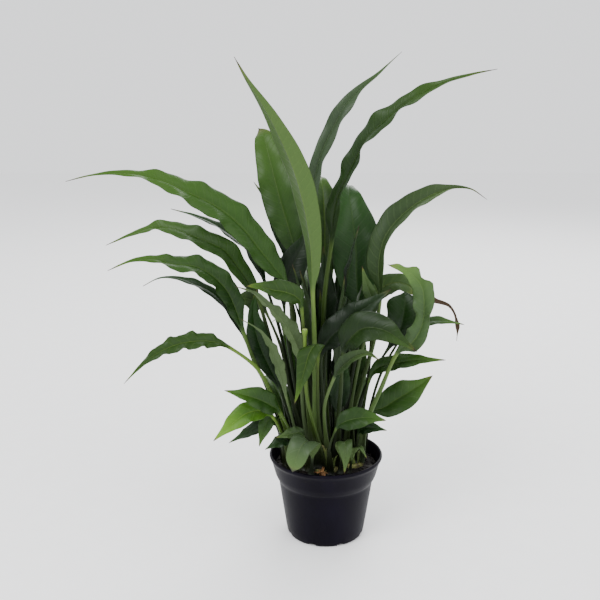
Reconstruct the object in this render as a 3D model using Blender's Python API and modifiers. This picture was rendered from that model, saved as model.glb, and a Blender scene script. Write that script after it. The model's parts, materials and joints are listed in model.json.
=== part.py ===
# Potted peace lily: a black nursery pot, potting soil with four leaf crowns in it, and about fifty
# leaves, each one solid of its stalk and its blade. The front of the plant faces -Y and +Z is up.
# The origin is at the centre of the pot's base, on the surface that the pot stands on.
# The driving dimensions are in millimetres and become metres when a mesh is made.

import math

import bmesh
import bpy
from mathutils import Matrix, Vector

MM = 0.001
GAP = 0.3

# Pot
POT_HEIGHT = 90.0
RIM_RADIUS = 60.0
RIM_BAND_FOOT = 69.0
RIM_BAND_FOOT_RADIUS = 54.0
SHOULDER_FOOT = 62.0
SHOULDER_RADIUS = 50.3
BASE_RADIUS = 41.0
BASE_ROUNDING = 2.5
WALL = 1.4
LIP = 2.4
DRAIN_COUNT = 8
DRAIN_WIDTH = 9.0
DRAIN_HEIGHT = 3.6
DRAIN_DEPTH = 8.0
LIP_ROUNDING = 0.8
BEAD_HEIGHT = 4.0
POT_SEGMENTS = 48

# Soil and crowns
SOIL_TOP = 79.0
SOIL_EDGE_DROP = 1.5
SOIL_EDGE_WIDTH = 3.5
SOIL_CLEARANCE = 0.5
SOIL_SEGMENTS = 32
CROWN_RADIUS = 13.5
CROWN_RISE = 3.0
CROWN_DEPTH = 5.0
CROWN_ROUNDING = 1.5
CROWN_SEGMENTS = 20
CROWNS = {
    "crown_left": (-27, -4),
    "crown_middle": (-1, -17),
    "crown_right": (27, -3),
    "crown_back": (2, 18),
}

# Leaves
# A stalk's width and thickness are in half widths of the stalk, and its foot is a little wider.
STALK_STEP = 45.0
BLADE_STEP = 21.0
BLADE_STATIONS = (5, 11)
STALK_STATIONS = (2, 6)
BLADE_THICKNESS = 0.9
TIP_WIDTH = 0.8
TIP_THICKNESS = 0.5
KEEL_SHARE = 0.6
BASE_FULLNESS = 0.8
TIP_FULLNESS = 1.1
CURVE_STEPS = 24
STALK_THICKNESS = 1.7
FOOT_HALF_WIDTH = 1.25
FOOT_THICKNESS = 2.2

# Colour, roughness and metallic value of each finish
POT_PLASTIC = ("pot_plastic", (0.016, 0.014, 0.021), 0.42, 0.0)
SOIL = ("potting_soil", (0.020, 0.014, 0.010), 0.95, 0.0)
CROWN = ("crown_tissue", (0.16, 0.19, 0.06), 0.60, 0.0)
HUSK = ("dry_husk", (0.36, 0.17, 0.04), 0.80, 0.0)
BRIGHT = ("leaf_bright", (0.120, 0.240, 0.035), 0.38, 0.0)
LIGHT = ("leaf_light", (0.090, 0.200, 0.045), 0.38, 0.0)
MID = ("leaf_mid", (0.050, 0.135, 0.030), 0.35, 0.0)
OLIVE = ("leaf_olive", (0.060, 0.110, 0.020), 0.38, 0.0)
DARK = ("leaf_dark", (0.022, 0.070, 0.026), 0.30, 0.0)
SHADE = ("leaf_shade", (0.018, 0.055, 0.020), 0.38, 0.0)
GREY = ("leaf_grey", (0.090, 0.130, 0.060), 0.45, 0.0)
PALE = ("leaf_pale", (0.130, 0.180, 0.090), 0.50, 0.0)
DRY = ("leaf_dry", (0.120, 0.100, 0.050), 0.70, 0.0)


for old in list(bpy.data.objects):
    bpy.data.objects.remove(old, do_unlink=True)

parts = bpy.data.collections.new("potted_peace_lily")
cutters = bpy.data.collections.new("cutters")
bpy.context.scene.collection.children.link(parts)
bpy.context.scene.collection.children.link(cutters)


def finish(look):
    """The Principled material of one finish, made once."""
    name, colour, roughness, metallic = look
    material = bpy.data.materials.get(name)
    if material is None:
        material = bpy.data.materials.new(name)
        material.use_nodes = True
        shader = material.node_tree.nodes["Principled BSDF"]
        shader.inputs["Base Color"].default_value = (*colour, 1.0)
        shader.inputs["Roughness"].default_value = roughness
        shader.inputs["Metallic"].default_value = metallic
    return material


def add_part(name, mesh, look):
    part = bpy.data.objects.new(name, mesh)
    parts.objects.link(part)
    mesh.materials.append(finish(look))
    return part


def turn(name, profile, segments, look):
    """A solid turned about Z. The profile runs down its outer side and is given in millimetres."""
    mesh = bpy.data.meshes.new(name)
    points = [(radius * MM, 0.0, height * MM) for radius, height in profile]
    edges = [(i, i + 1) for i in range(len(points) - 1)]
    mesh.from_pydata(points, edges, [])
    part = add_part(name, mesh, look)
    screw = part.modifiers.new("turn", "SCREW")
    screw.steps = segments
    screw.render_steps = segments
    screw.use_merge_vertices = True
    screw.merge_threshold = 0.00002
    return part


def cut(part, cutter, name):
    """Subtract the cutter, which stays in its own collection as a wire shape."""
    cutter.display_type = "WIRE"
    cutter.hide_render = True
    for holder in list(cutter.users_collection):
        holder.objects.unlink(cutter)
    cutters.objects.link(cutter)
    boolean = part.modifiers.new(name, "BOOLEAN")
    boolean.operation = "DIFFERENCE"
    boolean.solver = "EXACT"
    boolean.object = cutter


def wall_radius(height):
    """Outer radius of the pot below its shoulder."""
    return BASE_RADIUS + (SHOULDER_RADIUS - BASE_RADIUS) * height / SHOULDER_FOOT


def make_pot():
    """A tapered pot with a flared rim band, and slots for the water through its bottom corner."""
    inner_floor = (wall_radius(WALL) - WALL, WALL)
    profile = [
        (0.0, WALL),
        inner_floor,
        (SHOULDER_RADIUS - WALL, SHOULDER_FOOT),
        (RIM_BAND_FOOT_RADIUS - WALL, RIM_BAND_FOOT),
        (RIM_RADIUS - LIP, POT_HEIGHT - LIP_ROUNDING),
        (RIM_RADIUS - LIP + LIP_ROUNDING, POT_HEIGHT),
        (RIM_RADIUS - LIP_ROUNDING, POT_HEIGHT),
        (RIM_RADIUS, POT_HEIGHT - LIP_ROUNDING),
        (RIM_RADIUS - 0.5 * LIP_ROUNDING, POT_HEIGHT - BEAD_HEIGHT),
        (RIM_BAND_FOOT_RADIUS, RIM_BAND_FOOT),
        (SHOULDER_RADIUS, SHOULDER_FOOT),
        (wall_radius(BASE_ROUNDING), BASE_ROUNDING),
        (BASE_RADIUS - 0.3 * BASE_ROUNDING, 0.3 * BASE_ROUNDING),
        (BASE_RADIUS - BASE_ROUNDING, 0.0),
        (0.0, 0.0),
    ]
    pot = turn("pot", profile, POT_SEGMENTS, POT_PLASTIC)
    mesh = bpy.data.meshes.new("drain_slots")
    slots = bmesh.new()
    for i in range(DRAIN_COUNT):
        angle = math.tau * (i + 0.5) / DRAIN_COUNT
        middle = Vector((BASE_RADIUS, 0.0, 0.0)) * MM
        size = Vector((DRAIN_DEPTH, DRAIN_WIDTH, 2.0 * DRAIN_HEIGHT)) * MM
        place = Matrix.Rotation(angle, 4, "Z") @ Matrix.Translation(middle) @ Matrix.Diagonal((*size, 1.0))
        bmesh.ops.create_cube(slots, size=1.0, matrix=place)
    slots.to_mesh(mesh)
    slots.free()
    cutter = bpy.data.objects.new("drain_slots", mesh)
    bpy.context.scene.collection.objects.link(cutter)
    cut(pot, cutter, "drain")


def make_soil():
    """Soil that fills the pot to just under the rim, with a pocket for each crown."""
    floor = WALL + GAP
    inset = WALL + SOIL_CLEARANCE
    band_top = POT_HEIGHT - LIP_ROUNDING
    band_slope = (RIM_RADIUS - LIP - RIM_BAND_FOOT_RADIUS + WALL) / (band_top - RIM_BAND_FOOT)
    edge_height = SOIL_TOP - SOIL_EDGE_DROP
    edge = RIM_BAND_FOOT_RADIUS - inset + band_slope * (edge_height - RIM_BAND_FOOT)
    profile = [
        (0.0, SOIL_TOP),
        (edge - SOIL_EDGE_WIDTH, SOIL_TOP),
        (edge, edge_height),
        (RIM_BAND_FOOT_RADIUS - inset, RIM_BAND_FOOT),
        (SHOULDER_RADIUS - inset, SHOULDER_FOOT),
        (wall_radius(floor) - inset, floor),
        (0.0, floor),
    ]
    soil = turn("soil", profile, SOIL_SEGMENTS, SOIL)
    for name, (x, y) in CROWNS.items():
        depth = CROWN_DEPTH + GAP
        bpy.ops.mesh.primitive_cylinder_add(
            vertices=CROWN_SEGMENTS,
            radius=(CROWN_RADIUS + GAP) * MM,
            depth=2.0 * depth * MM,
            location=(x * MM, y * MM, SOIL_TOP * MM),
        )
        pocket = bpy.context.object
        pocket.name = name + "_pocket"
        cut(soil, pocket, name)


def make_crown(name, x, y):
    """The short, fleshy rootstock that a clump of leaves grows from, with a flat top."""
    top = SOIL_TOP + CROWN_RISE
    bottom = SOIL_TOP - CROWN_DEPTH
    profile = [
        (0.0, top),
        (CROWN_RADIUS - CROWN_ROUNDING, top),
        (CROWN_RADIUS - 0.3 * CROWN_ROUNDING, top - 0.3 * CROWN_ROUNDING),
        (CROWN_RADIUS, top - CROWN_ROUNDING),
        (CROWN_RADIUS, bottom + CROWN_ROUNDING),
        (CROWN_RADIUS - CROWN_ROUNDING, bottom),
        (0.0, bottom),
    ]
    crown = turn(name, profile, CROWN_SEGMENTS, CROWN)
    crown.location = (x * MM, y * MM, 0.0)


def root_height(x, y):
    """A stalk stands on a crown where there is one under it, and on the soil elsewhere."""
    for crown_x, crown_y in CROWNS.values():
        if math.hypot(x - crown_x, y - crown_y) < CROWN_RADIUS:
            return SOIL_TOP + CROWN_RISE + GAP
    return SOIL_TOP + GAP


def smooth_curve(points):
    """Catmull-Rom spline through the points, as a fine list of points and the index of each given point."""
    ends = [points[0] * 2 - points[1]] + points + [points[-1] * 2 - points[-2]]
    fine = []
    marks = []
    for i in range(len(points) - 1):
        a, b, c, d = ends[i : i + 4]
        marks.append(len(fine))
        for k in range(CURVE_STEPS):
            t = k / CURVE_STEPS
            square = 2 * a - 5 * b + 4 * c - d
            cube = 3 * b - a - 3 * c + d
            fine.append(0.5 * (2 * b + (c - a) * t + square * t**2 + cube * t**3))
    marks.append(len(fine))
    fine.append(points[-1])
    return fine, marks


def stations_between(fine, first, last, step, limits):
    """Indices of evenly spaced points of the fine curve, about a step apart, within limits on their count."""
    travelled = [0.0]
    for i in range(first, last):
        travelled.append(travelled[-1] + (fine[i + 1] - fine[i]).length)
    count = max(limits[0], min(limits[1], round(travelled[-1] / step)))
    indices = []
    for k in range(count + 1):
        goal = travelled[-1] * k / count
        indices.append(first + min(range(len(travelled)), key=lambda j: abs(travelled[j] - goal)))
    return indices


def blend_directions(faces, share):
    """The direction that the upper side faces at a share of the blade's length."""
    if len(faces) == 1:
        return Vector(faces[0])
    place = min(share, 0.9999) * (len(faces) - 1)
    i = int(place)
    return Vector(faces[i]).lerp(Vector(faces[i + 1]), place - i)


def blade_swell(share, peak):
    """Width of the blade at a share of its length, as a share of its greatest width."""
    if share <= 0.0 or share >= 1.0:
        return 0.0
    bulge = math.sin(math.pi * share ** (math.log(0.5) / math.log(peak)))
    return bulge ** (BASE_FULLNESS if share < peak else TIP_FULLNESS)


def grow_leaf(name, root, stem, blade, width, faces, fold, peak, stalk, tone):
    """One leaf: a stalk from its root through the stem points, then a blade through the blade points.

    Points are in millimetres. The width is the blade's greatest, at the peak, a share of the blade's
    length. The two halves of the blade rise by the fold, in degrees, to the side that faces names.
    """
    start = Vector((*root, root_height(*root)))
    points = [start] + [Vector(p) for p in stem] + [Vector(p) for p in blade]
    fine, marks = smooth_curve(points)
    collar = marks[len(stem)]
    stalk_rings = stations_between(fine, 0, collar, STALK_STEP, STALK_STATIONS)
    blade_rings = stations_between(fine, collar, len(fine) - 1, BLADE_STEP, BLADE_STATIONS)
    stations = [(i, 0.0) for i in stalk_rings[:-1]]
    stations += [(i, k / (len(blade_rings) - 1)) for k, i in enumerate(blade_rings)]

    rings = []
    for order, (i, share) in enumerate(stations):
        along = (fine[min(i + 1, len(fine) - 1)] - fine[max(i - 1, 0)]).normalized()
        if order == 0:
            along = Vector((0.0, 0.0, 1.0))
        up = blend_directions(faces, share)
        up = (up - along * up.dot(along)).normalized()
        side = along.cross(up)
        swell = blade_swell(share, peak)
        thinning = (1.0 - share) ** 3
        half_width = max(0.5 * width * swell, stalk * thinning, 0.5 * TIP_WIDTH)
        thickness = BLADE_THICKNESS * (1.0 - share) + (STALK_THICKNESS * stalk - BLADE_THICKNESS) * thinning
        thickness = max(thickness, TIP_THICKNESS)
        if order == 0:
            half_width = FOOT_HALF_WIDTH * stalk
            thickness = FOOT_THICKNESS * stalk
        rise = math.radians(fold) * swell**0.5
        middle = fine[i]
        left = middle - side * half_width * math.cos(rise) + up * half_width * math.sin(rise)
        right = middle + side * half_width * math.cos(rise) + up * half_width * math.sin(rise)
        top = middle + up * thickness * (1.0 - KEEL_SHARE)
        bottom = middle - up * thickness * KEEL_SHARE
        rings.append([left, bottom, right, top])

    solid = bmesh.new()
    loops = [[solid.verts.new(point * MM) for point in ring] for ring in rings]
    for lower, upper in zip(loops, loops[1:]):
        for k in range(4):
            j = (k + 1) % 4
            margin, ridge = (k, j) if k % 2 == 0 else (j, k)
            # split the same way above and below, so that the two sides of a thin, twisted blade never cross
            solid.faces.new((lower[margin], lower[ridge], upper[ridge]))
            solid.faces.new((lower[margin], upper[ridge], upper[margin]))
    solid.faces.new(loops[0])
    solid.faces.new(loops[-1])
    bmesh.ops.recalc_face_normals(solid, faces=solid.faces)
    if solid.calc_volume(signed=True) < 0.0:
        bmesh.ops.reverse_faces(solid, faces=solid.faces)
    mesh = bpy.data.meshes.new(name)
    solid.to_mesh(mesh)
    solid.free()
    mesh.shade_smooth()
    add_part(name, mesh, tone)


def make_stub(name, points, radius, tone):
    """A cut stalk: a round rod along the points."""
    curve = bpy.data.curves.new(name, "CURVE")
    curve.dimensions = "3D"
    curve.bevel_depth = radius * MM
    curve.bevel_resolution = 2
    curve.use_fill_caps = True
    spline = curve.splines.new("POLY")
    fine, _ = smooth_curve([Vector(p) for p in points])
    chosen = fine[:: CURVE_STEPS // 2]
    spline.points.add(len(chosen) - 1)
    for place, point in zip(spline.points, chosen):
        place.co = (*(point * MM), 1.0)
    rod = bpy.data.objects.new(name, curve)
    parts.objects.link(rod)
    curve.materials.append(finish(tone))


make_pot()
make_soil()
for crown_name, (crown_x, crown_y) in CROWNS.items():
    make_crown(crown_name, crown_x, crown_y)

# Tall leaves that rise from the middle of the clump
grow_leaf(
    "leaf_spire",
    root=(-9, -19),
    stem=[(-12, -22, 157), (-13, -25, 219), (-15, -28, 274)],
    blade=[
        (-17, -32, 319), (-25, -38, 364), (-37, -45, 402), (-56, -55, 443), (-72, -62, 469),
        (-85, -70, 493),
    ],
    width=30,
    faces=[(0.35, 0.9, 0.2)],
    fold=32, peak=0.38, stalk=2.5, tone=BRIGHT,
)

grow_leaf(
    "leaf_broad_left",
    root=(-8, 14),
    stem=[(-16, 15, 143), (-19, 18, 209), (-21, 23, 262), (-29, 28, 291)],
    blade=[(-37, 35, 318), (-48, 46, 353), (-59, 60, 393), (-67, 73, 421), (-72, 86, 425)],
    width=38,
    faces=[(-0.2, -0.9, 0.35)],
    fold=14, peak=0.45, stalk=2.5, tone=MID,
)

grow_leaf(
    "leaf_tall_right",
    root=(1, -11),
    stem=[(-1, -7, 151), (-4, -3, 215), (-2, -1, 267), (4, -1, 316)],
    blade=[
        (7, -4, 354), (20, -9, 386), (35, -16, 418), (53, -22, 437), (70, -28, 452),
        (92, -36, 466), (118, -44, 476), (149, -54, 483),
    ],
    width=26,
    faces=[(-0.5, -0.8, 0.3), (-0.2, -0.5, 0.8), (0.2, -0.85, 0.5)],
    fold=20, peak=0.38, stalk=2.5, tone=MID,
)

grow_leaf(
    "leaf_tall_middle",
    root=(-3, 9),
    stem=[(-8, 13, 144), (-13, 18, 220), (-15, 25, 293), (-14, 30, 334)],
    blade=[
        (-14, 35, 363), (-9, 41, 390), (-2, 46, 410), (10, 52, 433), (24, 58, 456), (43, 64, 472),
        (60, 69, 487), (78, 75, 503),
    ],
    width=20,
    faces=[(-0.4, -0.85, 0.35), (0.1, -0.8, 0.6)],
    fold=22, peak=0.38, stalk=2.3, tone=MID,
)

grow_leaf(
    "leaf_back_centre",
    root=(3, 21),
    stem=[(3, 28, 138), (1, 40, 213), (-1, 51, 277)],
    blade=[(-1, 60, 314), (-2, 74, 349), (-4, 90, 369), (-4, 110, 371)],
    width=38,
    faces=[(0.1, -0.95, 0.3)],
    fold=12, peak=0.45, stalk=2.2, tone=LIGHT,
)

grow_leaf(
    "leaf_broad_right",
    root=(20, 4),
    stem=[(21, 12, 133), (32, 18, 198), (34, 24, 240)],
    blade=[
        (32, 29, 271), (31, 35, 302), (28, 43, 330), (25, 55, 354), (25, 72, 365), (28, 90, 358),
    ],
    width=52,
    faces=[(0, -0.95, 0.3)],
    fold=10, peak=0.42, stalk=2.5, tone=DARK,
)

grow_leaf(
    "leaf_grey_right",
    root=(28, -3),
    stem=[(27, -1, 126), (41, 0, 182), (52, 0, 230), (54, -1, 261)],
    blade=[
        (52, 0, 286), (54, 2, 308), (62, 6, 328), (78, 12, 344), (99, 20, 358), (123, 28, 366),
        (146, 36, 366), (167, 42, 354),
    ],
    width=31,
    faces=[(-0.7, -0.6, 0.35), (-0.4, -0.7, 0.6)],
    fold=30, peak=0.38, stalk=2.5, tone=GREY,
)

grow_leaf(
    "leaf_centre_shade",
    root=(-21, 5),
    stem=[(-30, 6, 146), (-40, 6, 212), (-44, 6, 250)],
    blade=[(-40, 7, 278), (-31, 9, 299), (-21, 11, 319), (-15, 13, 339)],
    width=30,
    faces=[(0.1, -0.95, 0.3)],
    fold=12, peak=0.38, stalk=1.8, tone=SHADE,
)

grow_leaf(
    "leaf_behind_left",
    root=(-6, 21),
    stem=[(-19, 28, 138), (-25, 36, 215), (-33, 42, 274)],
    blade=[(-41, 46, 300), (-53, 54, 325), (-65, 64, 353), (-77, 72, 369)],
    width=15,
    faces=[(0.2, -0.9, 0.3)],
    fold=15, peak=0.38, stalk=1.8, tone=SHADE,
)

# Long leaves that arch out to the left, the lowest last
grow_leaf(
    "leaf_long_left",
    root=(-18, -7),
    stem=[(-22, -9, 152), (-31, -12, 218), (-41, -13, 275)],
    blade=[
        (-61, -16, 303), (-80, -20, 330), (-105, -25, 354), (-132, -32, 369), (-159, -40, 383),
        (-189, -50, 390), (-218, -58, 389), (-241, -64, 384),
    ],
    width=34,
    faces=[(0.55, -0.7, 0.4), (0.3, -0.6, 0.7)],
    fold=12, peak=0.3, stalk=2.5, tone=MID,
)

grow_leaf(
    "leaf_under_left",
    root=(-27, 7),
    stem=[(-36, 20, 152), (-49, 22, 219), (-63, 19, 268)],
    blade=[(-77, 18, 300), (-98, 18, 320), (-124, 20, 336), (-159, 22, 347)],
    width=18,
    faces=[(0.1, -0.35, 0.9)],
    fold=15, peak=0.38, stalk=1.9, tone=SHADE,
)

grow_leaf(
    "leaf_second_left",
    root=(-31, 3),
    stem=[(-44, 2, 148), (-57, 2, 208), (-70, 3, 256)],
    blade=[
        (-91, 4, 291), (-107, 8, 309), (-129, 14, 317), (-155, 22, 326), (-177, 30, 327),
        (-203, 38, 318), (-233, 46, 305),
    ],
    width=24,
    faces=[(0.25, -0.75, 0.5), (0.1, -0.6, 0.75)],
    fold=16, peak=0.38, stalk=2.3, tone=MID,
)

grow_leaf(
    "leaf_third_left",
    root=(-36, -9),
    stem=[(-53, -16, 154), (-66, -18, 179), (-78, -20, 208), (-85, -21, 231)],
    blade=[
        (-92, -24, 255), (-100, -28, 274), (-112, -34, 289), (-127, -42, 300), (-145, -50, 304),
        (-166, -60, 311), (-187, -68, 310), (-205, -74, 303),
    ],
    width=25,
    faces=[(0.3, -0.75, 0.5), (0.1, -0.6, 0.75)],
    fold=16, peak=0.38, stalk=2.2, tone=OLIVE,
)

grow_leaf(
    "leaf_fourth_left",
    root=(-36, -2),
    stem=[(-57, -5, 150), (-70, -6, 184), (-83, -7, 216)],
    blade=[
        (-93, -8, 236), (-106, -8, 257), (-123, -6, 270), (-143, -2, 277), (-165, 4, 280),
        (-189, 10, 269),
    ],
    width=13,
    faces=[(0.1, -0.4, 0.9)],
    fold=15, peak=0.38, stalk=1.8, tone=SHADE,
)

grow_leaf(
    "leaf_arm_left",
    root=(-31, -14),
    stem=[(-45, -20, 136), (-60, -28, 170), (-71, -33, 196), (-84, -38, 210), (-97, -44, 220)],
    blade=[
        (-112, -52, 228), (-126, -60, 231), (-141, -68, 231), (-156, -76, 227), (-170, -84, 220),
        (-181, -90, 210), (-191, -94, 200),
    ],
    width=18,
    faces=[(0.1, -0.7, 0.7)],
    fold=15, peak=0.38, stalk=2, tone=BRIGHT,
)

grow_leaf(
    "leaf_dark_left",
    root=(-27, -8),
    stem=[(-40, -9, 139), (-49, -9, 165)],
    blade=[(-60, -8, 190), (-69, -8, 211), (-74, -7, 232), (-75, -5, 252), (-71, -3, 270)],
    width=25,
    faces=[(0.4, -0.85, 0.3)],
    fold=15, peak=0.45, stalk=1.8, tone=SHADE,
)

grow_leaf(
    "leaf_grey_back_left",
    root=(-18, -1),
    stem=[(-38, 6, 157), (-48, 11, 205), (-63, 13, 241)],
    blade=[(-73, 13, 251), (-84, 12, 255), (-99, 10, 250)],
    width=20,
    faces=[(-0.1, -0.9, 0.4)],
    fold=15, peak=0.45, stalk=1.7, tone=GREY,
)

# Leaves at the front of the clump that bend towards the left
grow_leaf(
    "leaf_front_grey_left",
    root=(-12, -14),
    stem=[(-24, -20, 134), (-25, -26, 169), (-26, -30, 194)],
    blade=[
        (-30, -34, 219), (-40, -39, 240), (-51, -43, 254), (-65, -47, 269), (-77, -50, 280),
        (-89, -52, 283),
    ],
    width=18,
    faces=[(0.1, 0.75, 0.6)],
    fold=18, peak=0.38, stalk=1.9, tone=PALE,
)

grow_leaf(
    "leaf_inner_grey_left",
    root=(-24, -13),
    stem=[(-35, -20, 134), (-42, -25, 163)],
    blade=[(-47, -26, 184), (-54, -27, 207), (-62, -27, 224), (-73, -27, 236), (-87, -26, 244)],
    width=14,
    faces=[(0.2, 0.6, 0.75)],
    fold=18, peak=0.38, stalk=1.7, tone=PALE,
)

grow_leaf(
    "leaf_centre_fold",
    root=(-8, -26),
    stem=[(-18, -31, 139), (-22, -38, 194), (-24, -44, 238), (-26, -48, 261)],
    blade=[(-31, -53, 273), (-42, -58, 279), (-54, -62, 282), (-65, -65, 286), (-78, -68, 287)],
    width=23,
    faces=[(0.1, -0.75, 0.6)],
    fold=15, peak=0.45, stalk=2, tone=BRIGHT,
)

grow_leaf(
    "leaf_bright_small",
    root=(-3, -22),
    stem=[(-9, -30, 138), (-10, -37, 178), (-10, -43, 209)],
    blade=[(-11, -49, 224), (-16, -57, 225), (-21, -64, 211), (-27, -69, 191), (-33, -72, 171)],
    width=20,
    faces=[(-0.3, -0.9, 0.2)],
    fold=15, peak=0.38, stalk=1.8, tone=BRIGHT,
)

# Leaves at the front and the right
grow_leaf(
    "leaf_dark_centre",
    root=(3, -18),
    stem=[(-2, -24, 136), (-5, -27, 175), (-6, -29, 207)],
    blade=[(1, -31, 223), (14, -32, 237), (32, -32, 253), (47, -31, 264), (62, -29, 275)],
    width=32,
    faces=[(-0.45, -0.8, 0.35)],
    fold=15, peak=0.38, stalk=2, tone=SHADE,
)

grow_leaf(
    "leaf_dark_inner",
    root=(-6, -13),
    stem=[(-4, -14, 154), (-1, -14, 195), (0, -15, 221)],
    blade=[(3, -18, 233), (10, -21, 237), (17, -23, 229), (22, -24, 216)],
    width=14,
    faces=[(-0.3, 0.8, 0.4), (0.2, -0.3, 0.9), (0.4, -0.8, 0.3)],
    fold=15, peak=0.38, stalk=1.6, tone=SHADE,
)

grow_leaf(
    "leaf_arch_right",
    root=(9, -20),
    stem=[(12, -23, 135), (14, -35, 183), (15, -48, 216)],
    blade=[(23, -57, 235), (35, -63, 245), (51, -70, 245), (65, -76, 238), (82, -81, 227)],
    width=35,
    faces=[(-0.2, -0.75, 0.6)],
    fold=15, peak=0.36, stalk=2.2, tone=MID,
)

grow_leaf(
    "leaf_curl_right",
    root=(36, -9),
    stem=[(41, -15, 128), (49, -18, 151), (58, -21, 176), (65, -23, 194), (70, -25, 208)],
    blade=[
        (79, -28, 216), (89, -31, 226), (93, -33, 240), (94, -34, 254), (94, -34, 268),
        (90, -33, 281), (81, -31, 291), (69, -28, 297), (58, -26, 299),
    ],
    width=23,
    faces=[(-0.5, -0.8, 0.3), (-0.3, -0.85, 0.4)],
    fold=15, peak=0.38, stalk=2.4, tone=BRIGHT,
)

grow_leaf(
    "leaf_hook_centre",
    root=(4, -25),
    stem=[(-3, -37, 141), (-1, -47, 171), (6, -57, 194)],
    blade=[(14, -66, 208), (25, -74, 220), (35, -79, 225), (47, -82, 219)],
    width=16,
    faces=[(-0.4, -0.75, 0.5)],
    fold=35, peak=0.38, stalk=1.8, tone=PALE,
)

grow_leaf(
    "leaf_point_right_high",
    root=(36, 3),
    stem=[(38, 1, 126), (42, -2, 155), (45, -6, 175)],
    blade=[(51, -9, 186), (66, -12, 192), (89, -18, 198), (119, -26, 201)],
    width=19,
    faces=[(0, -0.7, 0.7)],
    fold=15, peak=0.38, stalk=1.8, tone=MID,
)

grow_leaf(
    "leaf_point_right_low",
    root=(35, -3),
    stem=[(36, -4, 123), (46, -5, 136)],
    blade=[(61, -4, 142), (77, 0, 151), (96, 7, 160), (113, 13, 171)],
    width=31,
    faces=[(-0.35, -0.85, 0.4)],
    fold=15, peak=0.45, stalk=1.9, tone=MID,
)

# Small leaves low over the rim
grow_leaf(
    "leaf_front_low_right",
    root=(4, -35),
    stem=[(2, -42, 124), (9, -46, 136)],
    blade=[(18, -48, 144), (30, -50, 148), (43, -51, 149), (58, -51, 146)],
    width=23,
    faces=[(-0.1, -0.8, 0.55)],
    fold=15, peak=0.38, stalk=1.6, tone=MID,
)

grow_leaf(
    "leaf_front_small_right",
    root=(14, -31),
    stem=[(15, -32, 98)],
    blade=[(16, -35, 112), (18, -41, 119), (18, -48, 113), (18, -52, 101), (17, -54, 90)],
    width=17,
    faces=[(0, 0.8, 0.4), (0, -0.3, 0.9), (0, -0.8, 0.3)],
    fold=15, peak=0.38, stalk=1.5, tone=PALE,
)

grow_leaf(
    "leaf_front_small_left",
    root=(-16, -35),
    stem=[(-15, -39, 101)],
    blade=[(-17, -46, 118), (-22, -56, 126), (-29, -64, 118), (-35, -69, 99)],
    width=22,
    faces=[(0.3, 0.8, 0.4), (-0.1, -0.4, 0.9), (-0.2, -0.8, 0.4)],
    fold=15, peak=0.5, stalk=1.6, tone=BRIGHT,
)

grow_leaf(
    "leaf_low_left_top",
    root=(-26, -24),
    stem=[(-38, -27, 130), (-48, -34, 148)],
    blade=[(-59, -42, 160), (-73, -48, 169), (-87, -54, 175), (-101, -60, 181)],
    width=24,
    faces=[(0.1, -0.75, 0.65)],
    fold=15, peak=0.38, stalk=1.8, tone=MID,
)

grow_leaf(
    "leaf_low_left_bright",
    root=(-37, -20),
    stem=[(-47, -23, 127), (-56, -26, 141)],
    blade=[(-66, -30, 148), (-80, -35, 148), (-96, -40, 138), (-115, -44, 121)],
    width=23,
    faces=[(0.1, -0.8, 0.6)],
    fold=15, peak=0.38, stalk=1.8, tone=BRIGHT,
)

grow_leaf(
    "leaf_low_left_dark",
    root=(-44, -5),
    stem=[(-52, -8, 123)],
    blade=[(-63, -10, 126), (-82, -12, 117), (-102, -14, 106)],
    width=15,
    faces=[(0, -0.7, 0.7)],
    fold=15, peak=0.38, stalk=1.5, tone=SHADE,
)

grow_leaf(
    "leaf_low_left_drop",
    root=(-42, -13),
    stem=[(-51, -16, 131)],
    blade=[(-57, -18, 137), (-64, -20, 125), (-70, -21, 105)],
    width=16,
    faces=[(-0.2, -0.9, 0.35)],
    fold=15, peak=0.38, stalk=1.5, tone=MID,
)

grow_leaf(
    "leaf_rim_left",
    root=(-33, -26),
    stem=[(-37, -30, 115)],
    blade=[(-42, -34, 118), (-51, -38, 116), (-63, -42, 111)],
    width=15,
    faces=[(0, -0.6, 0.8)],
    fold=15, peak=0.38, stalk=1.5, tone=SHADE,
)

grow_leaf(
    "leaf_low_left_pale",
    root=(-17, -26),
    stem=[(-24, -31, 121)],
    blade=[(-30, -35, 126), (-40, -39, 126), (-52, -42, 124)],
    width=14,
    faces=[(0, -0.7, 0.7)],
    fold=15, peak=0.38, stalk=1.6, tone=PALE,
)

# Thin, withered and half-hidden leaves at the right
grow_leaf(
    "leaf_grey_inner_right",
    root=(20, -5),
    stem=[(25, -6, 140), (36, -9, 206), (44, -12, 241)],
    blade=[(45, -14, 260), (39, -15, 277), (34, -16, 295)],
    width=15,
    faces=[(-0.3, -0.9, 0.2)],
    fold=15, peak=0.38, stalk=1.6, tone=GREY,
)

grow_leaf(
    "leaf_withered_right",
    root=(24, 8),
    stem=[(41, 11, 144), (47, 14, 205), (49, 17, 240)],
    blade=[
        (52, 20, 257), (61, 23, 268), (75, 25, 269), (91, 27, 263), (112, 30, 250), (127, 33, 244),
        (139, 35, 234), (141, 37, 221), (138, 38, 210), (142, 40, 201),
    ],
    width=14,
    faces=[(-0.2, -0.75, 0.6), (0, -0.6, 0.8)],
    fold=15, peak=0.16, stalk=1.6, tone=DRY,
)

grow_leaf(
    "leaf_thin_right",
    root=(40, 8),
    stem=[(49, 10, 145), (65, 9, 192), (81, 9, 219)],
    blade=[(97, 12, 228), (119, 18, 230), (146, 24, 224)],
    width=8,
    faces=[(0, -0.6, 0.8)],
    fold=15, peak=0.38, stalk=1.4, tone=MID,
)

grow_leaf(
    "leaf_round_right",
    root=(30, 5),
    stem=[(34, 5, 135), (50, 6, 180), (65, 6, 204)],
    blade=[(74, 3, 220), (78, 1, 236), (80, 2, 252), (80, 6, 264)],
    width=34,
    faces=[(-0.15, -0.95, 0.3)],
    fold=15, peak=0.5, stalk=1.9, tone=SHADE,
)

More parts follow.
